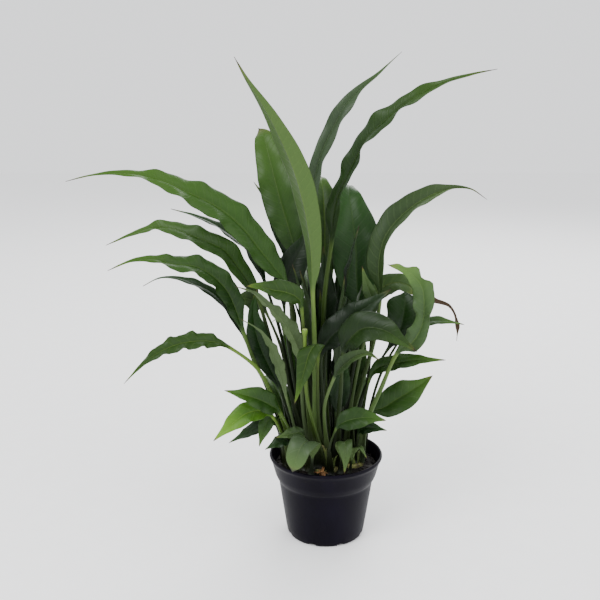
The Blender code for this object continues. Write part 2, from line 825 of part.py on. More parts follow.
grow_leaf(
    "leaf_low_right_dark",
    root=(29, -12),
    stem=[(33, -20, 119)],
    blade=[(40, -26, 128), (50, -30, 129), (61, -33, 128)],
    width=14,
    faces=[(0, -0.75, 0.65)],
    fold=15, peak=0.38, stalk=1.5, tone=SHADE,
)

grow_leaf(
    "leaf_soil_right",
    root=(24, -28),
    stem=[(26, -30, 94)],
    blade=[(29, -34, 107), (34, -40, 112), (40, -46, 103)],
    width=10,
    faces=[(-0.5, 0.6, 0.4), (0.3, -0.3, 0.9), (0.5, -0.6, 0.3)],
    fold=15, peak=0.38, stalk=1.3, tone=PALE,
)

grow_leaf(
    "leaf_inner_right",
    root=(9, -12),
    stem=[(8, -12, 125), (10, -13, 140)],
    blade=[(12, -13, 156), (15, -13, 171), (18, -11, 185), (19, -9, 200)],
    width=22,
    faces=[(-0.1, -0.95, 0.3)],
    fold=15, peak=0.38, stalk=1.8, tone=SHADE,
)

grow_leaf(
    "leaf_inner_left",
    root=(-17, 9),
    stem=[(-24, 16, 114), (-24, 20, 132)],
    blade=[(-24, 22, 152), (-25, 23, 174), (-28, 23, 196), (-30, 22, 213)],
    width=20,
    faces=[(0.1, -0.95, 0.3)],
    fold=15, peak=0.38, stalk=1.8, tone=SHADE,
)

# Leaves at the back of the clump
grow_leaf(
    "leaf_rear_centre",
    root=(4, 28),
    stem=[(5, 44, 180), (7, 72, 270)],
    blade=[(10, 102, 325), (14, 140, 345), (18, 180, 325), (20, 210, 285)],
    width=34,
    faces=[(0, -0.4, 0.9)],
    fold=15, peak=0.4, stalk=2, tone=MID,
)

grow_leaf(
    "leaf_rear_right",
    root=(10, 22),
    stem=[(14, 40, 150), (22, 68, 210)],
    blade=[(30, 98, 250), (38, 132, 262), (46, 168, 248)],
    width=32,
    faces=[(0, -0.4, 0.9)],
    fold=15, peak=0.4, stalk=2, tone=MID,
)

grow_leaf(
    "leaf_rear_left",
    root=(-3, 27),
    stem=[(-2, 46, 150), (-6, 80, 215)],
    blade=[(-14, 112, 250), (-24, 146, 260), (-34, 180, 244)],
    width=30,
    faces=[(0, -0.4, 0.9)],
    fold=15, peak=0.4, stalk=2, tone=MID,
)

grow_leaf(
    "leaf_rear_inner_right",
    root=(10, 13),
    stem=[(20, 18, 118)],
    blade=[(24, 22, 148), (28, 28, 182), (32, 36, 212), (37, 50, 228), (42, 68, 224)],
    width=34,
    faces=[(0, -0.8, 0.6)],
    fold=15, peak=0.4, stalk=2, tone=MID,
)

grow_leaf(
    "leaf_rear_inner_left",
    root=(-14, 31),
    stem=[(-19, 42, 114)],
    blade=[(-25, 53, 146), (-32, 65, 178), (-40, 79, 202), (-50, 95, 211), (-60, 111, 203)],
    width=27,
    faces=[(0, -0.8, 0.6)],
    fold=15, peak=0.4, stalk=2, tone=MID,
)

grow_leaf(
    "leaf_rear_low_right",
    root=(28, 24),
    stem=[(30, 32, 104)],
    blade=[(32, 42, 126), (36, 56, 144), (42, 76, 150), (48, 96, 142)],
    width=26,
    faces=[(0, -0.6, 0.8)],
    fold=15, peak=0.4, stalk=2, tone=MID,
)

grow_leaf(
    "leaf_rear_low_left",
    root=(-26, 24),
    stem=[(-33, 28, 104)],
    blade=[(-43, 34, 126), (-54, 44, 144), (-61, 60, 152), (-73, 78, 146)],
    width=26,
    faces=[(0, -0.6, 0.8)],
    fold=15, peak=0.4, stalk=2, tone=MID,
)

# A papery old leaf sheath that lies on the soil
grow_leaf(
    "dry_sheath",
    root=(-6, -33),
    stem=[(-6, -34, 85)],
    blade=[(-5, -38, 90), (-4, -43, 90), (-3, -48, 86)],
    width=9,
    faces=[(0, -0.5, 0.9)],
    fold=25, peak=0.4, stalk=1.6, tone=HUSK,
)

make_stub(
    "cut_stalk",
    points=[(-2, -28, 82.5), (-5, -31, 104), (-20, -42, 164), (-22, -46, 202), (-23, -50, 240)],
    radius=1.8,
    tone=BRIGHT,
)

bpy.context.view_layer.update()
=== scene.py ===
import json
import math
import random

import bmesh
import bpy
import numpy as np
from mathutils import Euler, Matrix, Vector, noise
from mathutils.bvhtree import BVHTree


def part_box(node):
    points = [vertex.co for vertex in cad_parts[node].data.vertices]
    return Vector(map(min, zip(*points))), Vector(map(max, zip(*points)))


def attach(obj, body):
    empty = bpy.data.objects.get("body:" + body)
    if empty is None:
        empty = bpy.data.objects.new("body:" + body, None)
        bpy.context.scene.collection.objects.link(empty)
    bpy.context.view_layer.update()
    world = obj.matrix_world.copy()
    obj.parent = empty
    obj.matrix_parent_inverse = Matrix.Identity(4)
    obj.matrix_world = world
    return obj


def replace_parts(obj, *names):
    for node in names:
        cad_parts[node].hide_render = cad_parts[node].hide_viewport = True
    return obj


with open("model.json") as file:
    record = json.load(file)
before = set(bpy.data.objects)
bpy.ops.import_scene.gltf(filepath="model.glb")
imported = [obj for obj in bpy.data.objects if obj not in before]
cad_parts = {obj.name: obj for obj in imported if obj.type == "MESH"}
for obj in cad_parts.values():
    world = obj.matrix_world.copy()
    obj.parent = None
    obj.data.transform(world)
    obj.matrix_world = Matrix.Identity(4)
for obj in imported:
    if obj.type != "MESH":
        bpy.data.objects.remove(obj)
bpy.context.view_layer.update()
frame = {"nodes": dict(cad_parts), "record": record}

mm = 0.001
seeds = {"leaves": 100, "innerPlaces": 12, "innerLeaves": 500, "crumbs": 7, "drySheath": 31, "crownHusks": 50}
nodeSlots = {part["node"]: part["material_slot"] for part in frame["record"]["subparts"]}
print("frame loaded,", len(frame["nodes"]), "nodes")

# ---- camera, lights and floor

studio = {
    "cameraPlace": (-0.0275, -0.841, 0.4664),
    "cameraPitch": 76.0,  # degrees from straight down
    "lens": 51.0,
    "sensorWidth": 36.0,
    "nearestSeen": 0.01,
    "floorSize": 8.0,
    "worldColour": (0.97, 0.98, 1.0),
    "worldStrength": 1.5,
    "lampAim": (0.0, 0.0, 0.25),
}
lamps = {
    "keyLight": {"place": (-1.1, -1.3, 1.9), "size": 1.3, "power": 44.0},
    "fillLight": {"place": (1.5, -1.0, 1.1), "size": 1.6, "power": 15.0},
    "backLight": {"place": (0.5, 1.5, 1.6), "size": 1.4, "power": 30.0},
}


def addObject(name, data):
    thing = bpy.data.objects.new(name, data)
    bpy.context.scene.collection.objects.link(thing)
    return thing


def setUpStudio():
    camera = addObject("studioCamera", bpy.data.cameras.new("studioCamera"))
    camera.location = studio["cameraPlace"]
    camera.rotation_euler = (math.radians(studio["cameraPitch"]), 0.0, 0.0)
    camera.data.lens = studio["lens"]
    camera.data.sensor_width = studio["sensorWidth"]
    camera.data.clip_start = studio["nearestSeen"]
    bpy.context.scene.camera = camera
    for name, lamp in lamps.items():
        light = addObject(name, bpy.data.lights.new(name, "AREA"))
        light.data.size = lamp["size"]
        light.data.energy = lamp["power"]
        light.location = lamp["place"]
        toAim = Vector(studio["lampAim"]) - Vector(lamp["place"])
        light.rotation_euler = toAim.to_track_quat("-Z", "Y").to_euler()
    world = bpy.data.worlds.new("studioWorld")
    world.use_nodes = True
    background = world.node_tree.nodes["Background"]
    background.inputs["Color"].default_value = (*studio["worldColour"], 1.0)
    background.inputs["Strength"].default_value = studio["worldStrength"]
    bpy.context.scene.world = world


setUpStudio()
print("studio ready")

# ---- shader helpers


# A node socket that can be added, multiplied and so on in Python
class Wire:
    def __init__(self, paints, socket):
        self.paints = paints
        self.socket = socket

    def maths(self, operation, first, second=None):
        values = {0: first} if second is None else {0: first, 1: second}
        return self.paints.add("ShaderNodeMath", {"operation": operation}, values)

    def __add__(self, other):
        return self.maths("ADD", self, other)

    def __radd__(self, other):
        return self.maths("ADD", other, self)

    def __sub__(self, other):
        return self.maths("SUBTRACT", self, other)

    def __rsub__(self, other):
        return self.maths("SUBTRACT", other, self)

    def __mul__(self, other):
        return self.maths("MULTIPLY", self, other)

    def __rmul__(self, other):
        return self.maths("MULTIPLY", other, self)

    def __abs__(self):
        return self.maths("ABSOLUTE", self)

    def fraction(self):
        return self.maths("FRACT", self)

    def most(self, other):
        return self.maths("MAXIMUM", self, other)


# The nodes of one material
class Paints:
    def __init__(self, name):
        self.material = bpy.data.materials.new(name)
        self.material.use_nodes = True
        self.tree = self.material.node_tree
        self.shader = self.tree.nodes["Principled BSDF"]
        self.where = self.add("ShaderNodeTexCoord", {}, {}, "Object")

    def feed(self, socket, value):
        if isinstance(value, Wire):
            self.tree.links.new(value.socket, socket)
        elif isinstance(value, tuple) and len(value) == 3 and socket.type == "RGBA":
            socket.default_value = (*value, 1.0)
        else:
            socket.default_value = value

    # Adds one node: its settings first, then the values or wires of its sockets
    def add(self, kind, settings, values, out=0):
        node = self.tree.nodes.new(kind)
        for key, setting in settings.items():
            setattr(node, key, setting)
        for key, value in values.items():
            self.feed(node.inputs[key], value)
        return Wire(self, node.outputs[out])

    def attribute(self, name):
        return self.add("ShaderNodeAttribute", {"attribute_name": name}, {}, "Fac")

    def noise(self, scale, detail=3.0, roughness=0.55, vector=None):
        values = {"Vector": vector or self.where, "Scale": scale, "Detail": detail, "Roughness": roughness}
        return self.add("ShaderNodeTexNoise", {}, values)

    def stretched(self, scale):
        return self.add("ShaderNodeMapping", {}, {"Vector": self.where, "Scale": scale})

    def height(self):
        return self.add("ShaderNodeSeparateXYZ", {}, {"Vector": self.where}, "Z")

    # 0 below low, 1 above high, smooth between
    def step(self, value, low, high):
        values = {"Value": value, "From Min": low, "From Max": high, "To Min": 0.0, "To Max": 1.0}
        return self.add("ShaderNodeMapRange", {"interpolation_type": "SMOOTHSTEP"}, values)

    # Sockets 0, 6 and 7 of a Mix node are its factor and its two colours, and output 2 is its colour
    def mix(self, first, second, factor):
        return self.add("ShaderNodeMix", {"data_type": "RGBA"}, {0: factor, 6: first, 7: second}, 2)

    def scaled(self, colour, factor):
        return self.add("ShaderNodeVectorMath", {"operation": "SCALE"}, {0: colour, "Scale": factor})

    def bump(self, height, distance, strength):
        return self.add("ShaderNodeBump", {}, {"Height": height, "Distance": distance, "Strength": strength})

    def finish(self, **sockets):
        for key, value in sockets.items():
            self.feed(self.shader.inputs[key.replace("_", " ")], value)
        return self.material


# A colour as it looks on a screen, 0 to 255, turned into linear light
def screen(red, green, blue):
    shares = [level / 255.0 for level in (red, green, blue)]
    return tuple(((share + 0.055) / 1.055) ** 2.4 if share > 0.04 else share / 12.92 for share in shares)


# ---- leaf finishes: the leaves' own greens, with leaf_bright and leaf_dark in part lit and shaded copies of one green, painted light and painted shade

leafFinishes = {
    "leaf_bright": {
        "deep": (38, 66, 15), "upper": (70, 108, 26), "tipUpper": (88, 126, 34),
        "lower": (84, 114, 38), "rib": (108, 136, 52), "stalk": (76, 104, 38),
        "vein": 0.07, "gloss": 0.40,
    },
    "leaf_green": {
        "deep": (22, 46, 11), "upper": (46, 79, 20), "tipUpper": (60, 94, 26),
        "lower": (68, 94, 36), "rib": (80, 106, 42), "stalk": (58, 82, 32),
        "vein": 0.08, "gloss": 0.38,
    },
    "leaf_dark": {
        "deep": (9, 28, 6), "upper": (23, 52, 13), "tipUpper": (30, 60, 17),
        "lower": (46, 68, 28), "rib": (54, 78, 34), "stalk": (46, 66, 27),
        "vein": 0.08, "gloss": 0.35,
    },
    "leaf_grey": {
        "deep": (34, 52, 24), "upper": (58, 80, 40), "tipUpper": (64, 86, 40),
        "lower": (76, 96, 54), "rib": (92, 114, 62), "stalk": (66, 86, 44),
        "vein": 0.08, "gloss": 0.44,
    },
    "leaf_dry": {
        "deep": (30, 50, 16), "upper": (60, 92, 30), "tipUpper": (70, 88, 34),
        "lower": (76, 104, 44), "rib": (98, 110, 54), "stalk": (58, 78, 32),
        "vein": 0.10, "gloss": 0.46,
    },
}


def makeLeafFinish(name, look):
    look = {key: screen(*value) if isinstance(value, tuple) else value for key, value in look.items()}
    p = Paints(name)
    across, along, vein = p.attribute("across"), p.attribute("along"), p.attribute("vein")
    upper, tint, dryness = p.attribute("upper"), p.attribute("tint"), p.attribute("dryness")
    halfShade, light, grey = p.attribute("halfShade"), p.attribute("light"), p.attribute("grey")
    patches = p.noise(28.0, 4.0)
    mottle = p.noise(240.0, 3.0)
    # the blade's own greens, lighter towards the tip and patchy
    shade = p.step(patches * 0.76 + along * 0.35 + mottle * 0.06 + tint, 0.25, 1.05)
    blade = p.mix(look["deep"], look["upper"], shade)
    blade = p.mix(blade, look["tipUpper"], p.step(along + tint * 0.5, 0.45, 1.0))
    under = p.mix(look["lower"], look["upper"], p.step(patches + mottle * 0.3, 0.45, 1.0) * 0.45)
    under = p.mix(under, look["deep"], p.step(0.0 - tint, 0.1, 0.6) * 0.6)
    blade = p.mix(under, blade, p.step(upper, -0.2, 0.2))
    # painted shade: one half of a folded blade is darkened towards the deep green, on the side its look names
    blade = p.mix(blade, look["deep"], halfShade * 0.75)
    # side veins that sweep forwards, finer ones between them, and the midrib
    line = abs((vein + mottle * 0.05).fraction() - 0.5) * 2.0
    veinMask = p.step(line, 0.72, 1.0)
    fineLine = abs((vein * 5.0 + mottle * 0.2).fraction() - 0.5) * 2.0
    fineMask = p.step(fineLine, 0.4, 1.0) * (1.0 - p.step(along, 0.45, 0.75))
    blade = p.mix(blade, look["rib"], veinMask * look["vein"])
    blade = p.mix(blade, look["deep"], fineMask * 0.12)
    ribMask = 1.0 - p.step(abs(across) + p.step(along, 0.0, 1.3) * 0.02, 0.022, 0.075)
    blade = p.mix(blade, look["rib"], ribMask * 0.26)
    edgeMask = p.step(abs(across), 0.955, 1.0)
    blade = p.mix(blade, look["rib"], edgeMask * 0.2)
    # the stalk: fibrous, paler and greener upwards, and darkened near the soil as painted shade at its foot
    streaks = p.noise(900.0, 2.0, 0.5, p.stretched((1.0, 1.0, 0.035)))
    height = p.height()
    stalk = p.mix(look["stalk"], look["rib"], p.step(along, -0.45, 0.0) * 0.8)
    stalk = p.mix(stalk, look["lower"], p.step(patches, 0.45, 0.65) * 0.4)
    # painted shade: the foot of each stalk is darkened near the soil
    stalk = p.mix(screen(34, 40, 20), stalk, p.step(height + (patches - 0.5) * 0.03, 0.078, 0.150))
    stalk = p.mix(stalk, look["deep"], p.step(streaks, 0.5, 0.8) * 0.45)
    colour = p.mix(stalk, blade, p.step(along, -0.03, 0.03))
    # brown where the tip, the margin and odd specks have dried
    ragged = along + abs(across) * 0.03 + (mottle - 0.5) * 0.06 + (patches - 0.5) * 0.05
    tipMask = p.step(ragged + dryness * 0.06, 0.965, 1.01)
    specks = p.step(p.noise(420.0, 2.0), 0.74, 0.80) * p.step(along, 0.0, 0.1)
    brown = p.mix(screen(74, 56, 34), screen(34, 26, 20), mottle)
    yellowing = p.step(ragged + dryness * 0.062, 0.90, 1.0)
    colour = p.mix(colour, screen(112, 112, 44), yellowing * 0.45)
    colour = p.mix(colour, brown, tipMask.most(specks * 0.35))
    # painted light and shade: the colour is scaled by the leaf's light mark, lowest on the stalks as shade of
    # the crowded middle
    colour = p.scaled(p.mix(colour, screen(84, 98, 78), grey), light)
    # gloss and relief
    roughness = look["gloss"] + (patches - 0.5) * 0.12 + (mottle - 0.5) * 0.03
    roughness = roughness + tipMask * 0.25 + fineMask * 0.04
    roughness = roughness + (1.0 - p.step(upper, -0.2, 0.2)) * 0.10
    relief = fineMask * 0.12 + mottle * 0.03 + patches * 0.5 - veinMask * 0.5
    normal = p.bump(relief, 0.00055, 0.5)
    return p.finish(Base_Color=colour, Roughness=roughness, Normal=normal, Specular_IOR_Level=0.17)


finishes = {name: makeLeafFinish(name, look) for name, look in leafFinishes.items()}
print("leaf finishes ready")

# ---- leaves

leafShape = {
    "bladeStep": 2.8,  # millimetres between cross sections
    "stalkStep": 7.0,
    "bladeSections": 22,  # fewest cross sections of a blade
    "stalkSections": 3,
    "collarSwell": 1.06,  # the blade starts where the solid is this many stalks wide
    "bladeThickness": 0.42,
    "edgeThinning": 0.7,  # how much thinner the blade is at its margin
    "ribShare": 0.62,  # the rib's radius next to the stalk's
    "thinnestRib": 0.28,
    "ribDip": 0.35,  # how deep the rib sinks into the upper face, next to its radius
    "veinSpacing": 8.5,
    "veinSweep": 0.62,  # how far forwards a side vein runs, next to the half width
    "veinCurve": 0.30,
    "pucker": 0.22,  # how far the blade rises and falls across its side veins
    "arch": 0.10,  # how far each half bulges, next to the half width
    "roll": 0.10,  # how far the blade twists, next to the half width
    "fullWaveHalf": 8.0,  # half width from which the waves reach their full height
    "groove": 0.25,  # depth of the stalk's groove next to its radius
    "footGroove": 0.8,  # how much deeper it is at the foot
    "tipHalfWidth": 0.16,
}
# where along the blade each change of width starts, or has its middle, and how long it is
widthPlaces = {
    "pinchStart": (0.0, 0.1),
    "pinchLength": 0.16,
    "swell": (0.0, 0.15),
    "slim": (0.55, 0.35),
    "blunt": (0.55, 0.3),
    "bluntEnd": (0.88, 0.12),
    "thin": (0.42, 0.12),
    "bead": (0.88, 0.045),
    "scallopLength": 0.12,
    "tip": (0.97, 0.045),
    "lamina": (0.0, 0.05),
}
acrossSteps = (0.0, 0.045, 0.11, 0.22, 0.36, 0.51, 0.66, 0.80, 0.92, 1.0)
acrossPlaces = [-u for u in reversed(acrossSteps[1:])] + list(acrossSteps)

# how each leaf departs from usualLeaf below, which says what each value is
leafLooks = {
    "leaf_spire": {
        "wave": 0.7, "waves": 3, "tint": -0.45, "dryness": 0.3, "darkRight": 0.7, "slim": 0.3,
        "pinch": 0.22, "pinchPlace": 0.12, "light": 0.80, "stalkLight": 0.80, "grey": 0.22,
    },
    "leaf_broad_left": {"wave": 1.6, "tint": 0.22, "blunt": 5.5, "light": 0.62},
    "leaf_tall_right": {
        "wave": 2.6, "waves": 5, "tint": 0.05, "pinch": 0.35, "pinchPlace": 0.26, "slim": 0.45,
        "light": 0.55, "stalkLight": 0.50,
    },
    "leaf_tall_middle": {
        "wave": 1.6, "tint": -0.20, "pinch": 0.2, "pinchPlace": 0.3, "slim": 0.6,
        "light": 0.74, "grey": 0.32, "scallop": 0.28, "scallops": 4.3, "scallopFrom": 0.2,
    },
    "leaf_back_centre": {"wave": 1.0, "waves": 3, "tint": -0.40, "light": 0.7},
    "leaf_broad_right": {"wave": 1.8, "waves": 3, "tint": 0.25, "light": 0.95},
    "leaf_grey_right": {
        "wave": 1.2, "tint": 0.05, "dryness": 0.8, "darkLeft": 0.8, "slim": 0.75,
        "light": 1.0, "stalkLight": 0.6,
    },
    "leaf_long_left": {"wave": 2.4, "waves": 6, "tint": 0.30, "slim": 0.5, "light": 0.76},
    "leaf_second_left": {"wave": 2.2, "waves": 5, "tint": 0.25, "slim": 0.3, "light": 0.72},
    "leaf_arm_left": {
        "wave": 2.8, "waves": 6, "tint": -0.55, "slim": 0.5, "light": 0.72, "stalkLight": 0.7,
    },
    "leaf_curl_right": {
        "wave": 2.2, "tint": -0.20, "pinch": 0.46, "pinchPlace": 0.38, "swell": 1.32,
        "scallop": 0.42, "scallops": 7.2, "scallopFrom": 0.6, "slim": 0.0, "sheath": 0.8, "light": 0.92,
        "stalkLight": 0.75, "grey": 0.28,
    },
    "leaf_withered_right": {
        "wave": 1.0, "waves": 8, "tint": 0.1, "dryness": 8.5, "swell": 1.8, "thin": 0.5, "bead": 1.9,
        "light": 0.85,
    },
    "leaf_thin_right": {"wave": 0.8, "waves": 3, "swell": 1.6},
    "leaf_low_left_bright": {"wave": 1.4, "tint": 0.1, "light": 1.15, "stalkLight": 0.75},
    "leaf_low_left_top": {"wave": 1.4, "tint": 0.1, "light": 0.8, "stalkLight": 0.65},
    "leaf_low_left_drop": {"stalkLight": 0.6},
    "leaf_low_left_pale": {"stalkLight": 0.7},
    "leaf_fourth_left": {"stalkLight": 0.55},
    "leaf_third_left": {
        "wave": 2.2, "waves": 6, "slim": 0.45, "light": 0.8, "stalkLight": 0.5,
    },
    "leaf_grey_inner_right": {"stalkLight": 0.6},
    "leaf_front_small_left": {
        "wave": 0.8, "waves": 2, "tint": -0.15, "swell": 1.25, "blunt": 3.5, "slim": 0.0, "light": 0.62,
        "grey": 0.45,
    },
    "leaf_round_right": {
        "wave": 1.0, "waves": 3, "tint": 0.15, "blunt": 10.0, "slim": 0.0, "light": 0.46,
        "dryness": -2.0,
    },
    "leaf_bright_small": {"wave": 1.2, "waves": 3, "tint": -0.35, "light": 0.6},
    "leaf_centre_fold": {"wave": 1.0, "waves": 3, "tint": -0.40, "light": 0.66},
    "leaf_front_grey_left": {
        "wave": 2.2, "waves": 5, "tint": -0.1, "darkLeft": 0.4, "light": 0.78, "stalkLight": 0.6,
        "grey": 0.15,
    },
    "leaf_inner_grey_left": {
        "wave": 1.6, "waves": 5, "tint": -0.2, "light": 0.72, "stalkLight": 0.6, "grey": 0.15,
    },
    "leaf_arch_right": {"wave": 1.4, "waves": 3, "darkLeft": 0.5, "light": 0.42},
    "leaf_dark_centre": {"light": 0.42},
    "leaf_dark_inner": {"light": 0.42},
    "leaf_centre_shade": {"light": 0.42},
    "leaf_hook_centre": {
        "wave": 1.0, "waves": 3, "darkLeft": 0.5, "light": 0.7, "stalkLight": 0.7,
    },
    "leaf_point_right_low": {
        "wave": 1.4, "waves": 3, "tint": 0.1, "light": 0.78, "stalkLight": 0.6, "swell": 1.08,
    },
    "leaf_front_low_right": {"wave": 1.4, "waves": 3, "light": 0.68},
}
usualLeaf = {
    "wave": 1.3,  # millimetres that the margin swings up and down
    "waves": 4,  # how many swings along the blade
    "tint": 0.0,  # lighter or darker than its finish
    "dryness": 0.2,  # how far back from the tip it has dried
    "sheath": 1.1,  # how much wider the foot of the stalk is
    # painted shade on one half of a folded blade, on that side of the midrib
    "darkLeft": 0.0,  # how dark the half on that side of the midrib is
    "darkRight": 0.0,
    "pinch": 0.0,  # how much narrower it is at pinchPlace
    "pinchPlace": 0.5,
    "swell": 1.0,  # its width next to that of the CAD solid
    "slim": 0.25,  # how much narrower it is towards the tip
    "blunt": 0.0,  # millimetres added to the half width before the tip
    "scallop": 0.0,  # how deep the lobes of one margin are
    "scallops": 3.0,
    "scallopFrom": 0.5,
    "thin": 0.0,  # how much narrower the last half of the blade is
    "bead": 0.0,  # millimetres added to the half width close to the tip
    # light and stalkLight are painted light and shade on the blade and on the stalk: partly each leaf's own
    # tone, and the stalks darkened as shade of the crowded middle
    "light": 0.82,  # brightness of the blade, then of the stalk
    "stalkLight": 0.27,
    "grey": 0.0,  # how much grey is mixed into its colour
}
leafAttributes = ("across", "along", "vein", "tint", "dryness", "halfShade", "light", "grey")


def smooth(t):
    t = min(1.0, max(0.0, t))
    return t * t * (3.0 - 2.0 * t)


# 0 up to start, 1 from there plus length
def rise(share, start, length):
    return smooth((share - start) / length)


# 1 at place, falling to nothing on both sides
def hump(share, place, length):
    return math.exp(-(((share - place) / length) ** 2))


def weldedCopy(node):
    solid = bmesh.new()
    solid.from_mesh(node.data)
    bmesh.ops.remove_doubles(solid, verts=solid.verts, dist=0.01 * mm)
    return solid


# Rings of corners from a first one to the far end, each joined by edges to the one before
def ringsFrom(ring):
    seen = set(ring)
    rings = []
    while ring:
        rings.append(ring)
        near = {edge.other_vert(vert) for vert in ring for edge in vert.link_edges} - seen
        seen |= near
        ring = sorted(near, key=lambda vert: vert.co[:])
    return rings


# The two corners of a ring that lie furthest apart, and the other two
def splitRing(ring):
    ring = sorted(ring, key=lambda corner: corner[:])
    options = [(ring[i], ring[j]) for i in range(4) for j in range(i + 1, 4)]
    wide = max(options, key=lambda pair: (pair[1] - pair[0]).length)
    return wide, [corner for corner in ring if corner not in wide]


# From one corner of a pair to the other, whichever way agrees with direction
def spanAlong(pair, direction):
    first, second = pair
    return (second - first) if (second - first).dot(direction) > 0 else (first - second)


# Every cross section of a leaf's CAD solid from its root to its tip: middle, side, up, half width,
# how far the margins lie above the middle, and thickness
def traceSections(node, rootLevels):
    solid = weldedCopy(node)
    atLevels = ([vert for vert in solid.verts if abs(vert.co.z - level) < 0.005 * mm] for level in rootLevels)
    root = next(ring for ring in atLevels if len(ring) == 4)
    corners = [[vert.co.copy() for vert in ring] for ring in ringsFrom(root)]
    solid.free()
    middles = [sum(ring, Vector()) / len(ring) for ring in corners]
    pairs = [splitRing(ring) for ring in corners]
    widest = max(range(len(pairs)), key=lambda k: (pairs[k][0][1] - pairs[k][0][0]).length)

    def heading(k):
        return (middles[min(k + 1, len(middles) - 1)] - middles[max(k - 1, 0)]).normalized()

    # the widest section tells up from down, and the others follow their neighbours
    (a, b), (c, d) = pairs[widest]
    upward = (a + b) / 2 - (c + d) / 2
    sides = [None] * len(pairs)
    sides[widest] = spanAlong((a, b), heading(widest).cross(upward))
    for k in list(range(widest - 1, -1, -1)) + list(range(widest + 1, len(pairs))):
        sides[k] = spanAlong(pairs[k][0], sides[k + 1] if k < widest else sides[k - 1])
    sections = []
    for k, (wide, rest) in enumerate(pairs):
        upward = sides[k].cross(heading(k))
        bottom, top = sorted(rest, key=lambda corner: corner.dot(upward))
        middle = bottom.lerp(top, 0.6)
        up = (top - bottom).normalized()
        edge = (wide[0] + wide[1]) / 2 - middle
        half = sides[k].length / 2
        sections.append((*middle, *sides[k].normalized(), *up, half, edge.dot(up), (top - bottom).length))
    return np.array(sections)


# The row at place t along rows, on a smooth curve through them
def catmull(rows, t):
    i = min(int(t), len(rows) - 2)
    f = t - i
    before = rows[i - 1] if i > 0 else 2 * rows[0] - rows[1]
    after = rows[i + 2] if i + 2 < len(rows) else 2 * rows[-1] - rows[-2]
    a, b = rows[i], rows[i + 1]
    return 0.5 * (2 * a + (b - before) * f + (2 * before - 5 * a + 4 * b - after) * f**2
                  + (3 * a - before - 3 * b + after) * f**3)


# Places from first to last that lie evenly along the curve, and its length
def evenPlaces(rows, first, last, step, fewest):
    samples = 400
    fine = [first + (last - first) * k / samples for k in range(samples + 1)]
    points = [catmull(rows, t)[:3] for t in fine]
    reach = [0.0]
    for a, b in zip(points, points[1:]):
        reach.append(reach[-1] + float(np.linalg.norm(b - a)))
    count = max(fewest, round(reach[-1] / step))
    places = np.interp([reach[-1] * k / count for k in range(count + 1)], reach, fine)
    return list(places), reach[-1]


# Half the width at a share of the blade's length, from that of the CAD solid
def halfWidth(half, share, look):
    tip = leafShape["tipHalfWidth"] * mm
    half = max(half, tip)
    pinch = hump(share, look["pinchPlace"], widthPlaces["pinchLength"])
    half *= 1.0 - look["pinch"] * pinch * rise(share, *widthPlaces["pinchStart"])
    half *= 1.0 + (look["swell"] - 1.0) * rise(share, *widthPlaces["swell"])
    half *= 1.0 - look["slim"] * rise(share, *widthPlaces["slim"])
    bluntEnd = 1.0 - rise(share, *widthPlaces["bluntEnd"])
    half += look["blunt"] * mm * rise(share, *widthPlaces["blunt"]) * bluntEnd
    half *= 1.0 - look["thin"] * rise(share, *widthPlaces["thin"])
    half += look["bead"] * mm * hump(share, *widthPlaces["bead"])
    start, length = widthPlaces["tip"]
    return max(tip, half * (1.0 - (share - start) / length)) if share > start else half


# Counts the side veins: a whole number lies on a vein
def veinNumber(u, share, half, bladeLength):
    size = abs(u)
    place = share * bladeLength - leafShape["veinSweep"] * half * size
    place -= leafShape["veinCurve"] * half * size**2
    return place / (leafShape["veinSpacing"] * mm) + (0.5 if u < 0 else 0.0)


# How far sideways and how high the blade's middle surface lies, at u across it
def bladeSpot(u, share, half, lift, vein, phases, look):
    size = abs(u)
    envelope = max(0.0, math.sin(math.pi * min(1.0, share * 1.02))) ** 0.6
    phase = phases[0] if u < 0 else phases[1]
    swing = math.sin(math.tau * (look["waves"] * share + phase))
    swing += 0.5 * math.sin(math.tau * (look["waves"] * 1.9 * share + 2.0 * phase))
    room = min(1.0, half / (leafShape["fullWaveHalf"] * mm))
    wave = look["wave"] * mm * envelope * size**1.8 * swing * room
    roll = leafShape["roll"] * half * u * envelope * math.sin(math.tau * (1.1 * share + phases[2]))
    pucker = leafShape["pucker"] * mm * envelope * math.sin(math.pi * size) * math.cos(math.tau * vein)
    arch = leafShape["arch"] * half * math.sin(math.pi * size**0.9) * envelope
    x = u * half
    if u > 0.0:  # one margin in broad scallops
        lobe = math.sin(math.tau * (look["scallops"] * share + 0.55))
        reach = rise(share, look["scallopFrom"], widthPlaces["scallopLength"])
        x *= 1.0 + look["scallop"] * size**2 * lobe * reach
    return x, lift * size**1.12 + arch + wave + roll + pucker


# A point around the stalk, which has a groove above and clasps its neighbours at its foot
def stalkSpot(u, face, half, thick, foot, look):
    turn = u * math.pi / 2
    wide = half * (1.0 + look["sheath"] * foot)
    spot = Vector((wide * math.sin(turn), face * 0.5 * thick * math.cos(turn)))
    if face > 0:
        depth = leafShape["groove"] + leafShape["footGroove"] * foot
        spot.y -= depth * 0.5 * thick * math.exp(-(u * 2.0) ** 2)
    spot.y += 0.5 * half * foot * abs(u)**2
    return spot


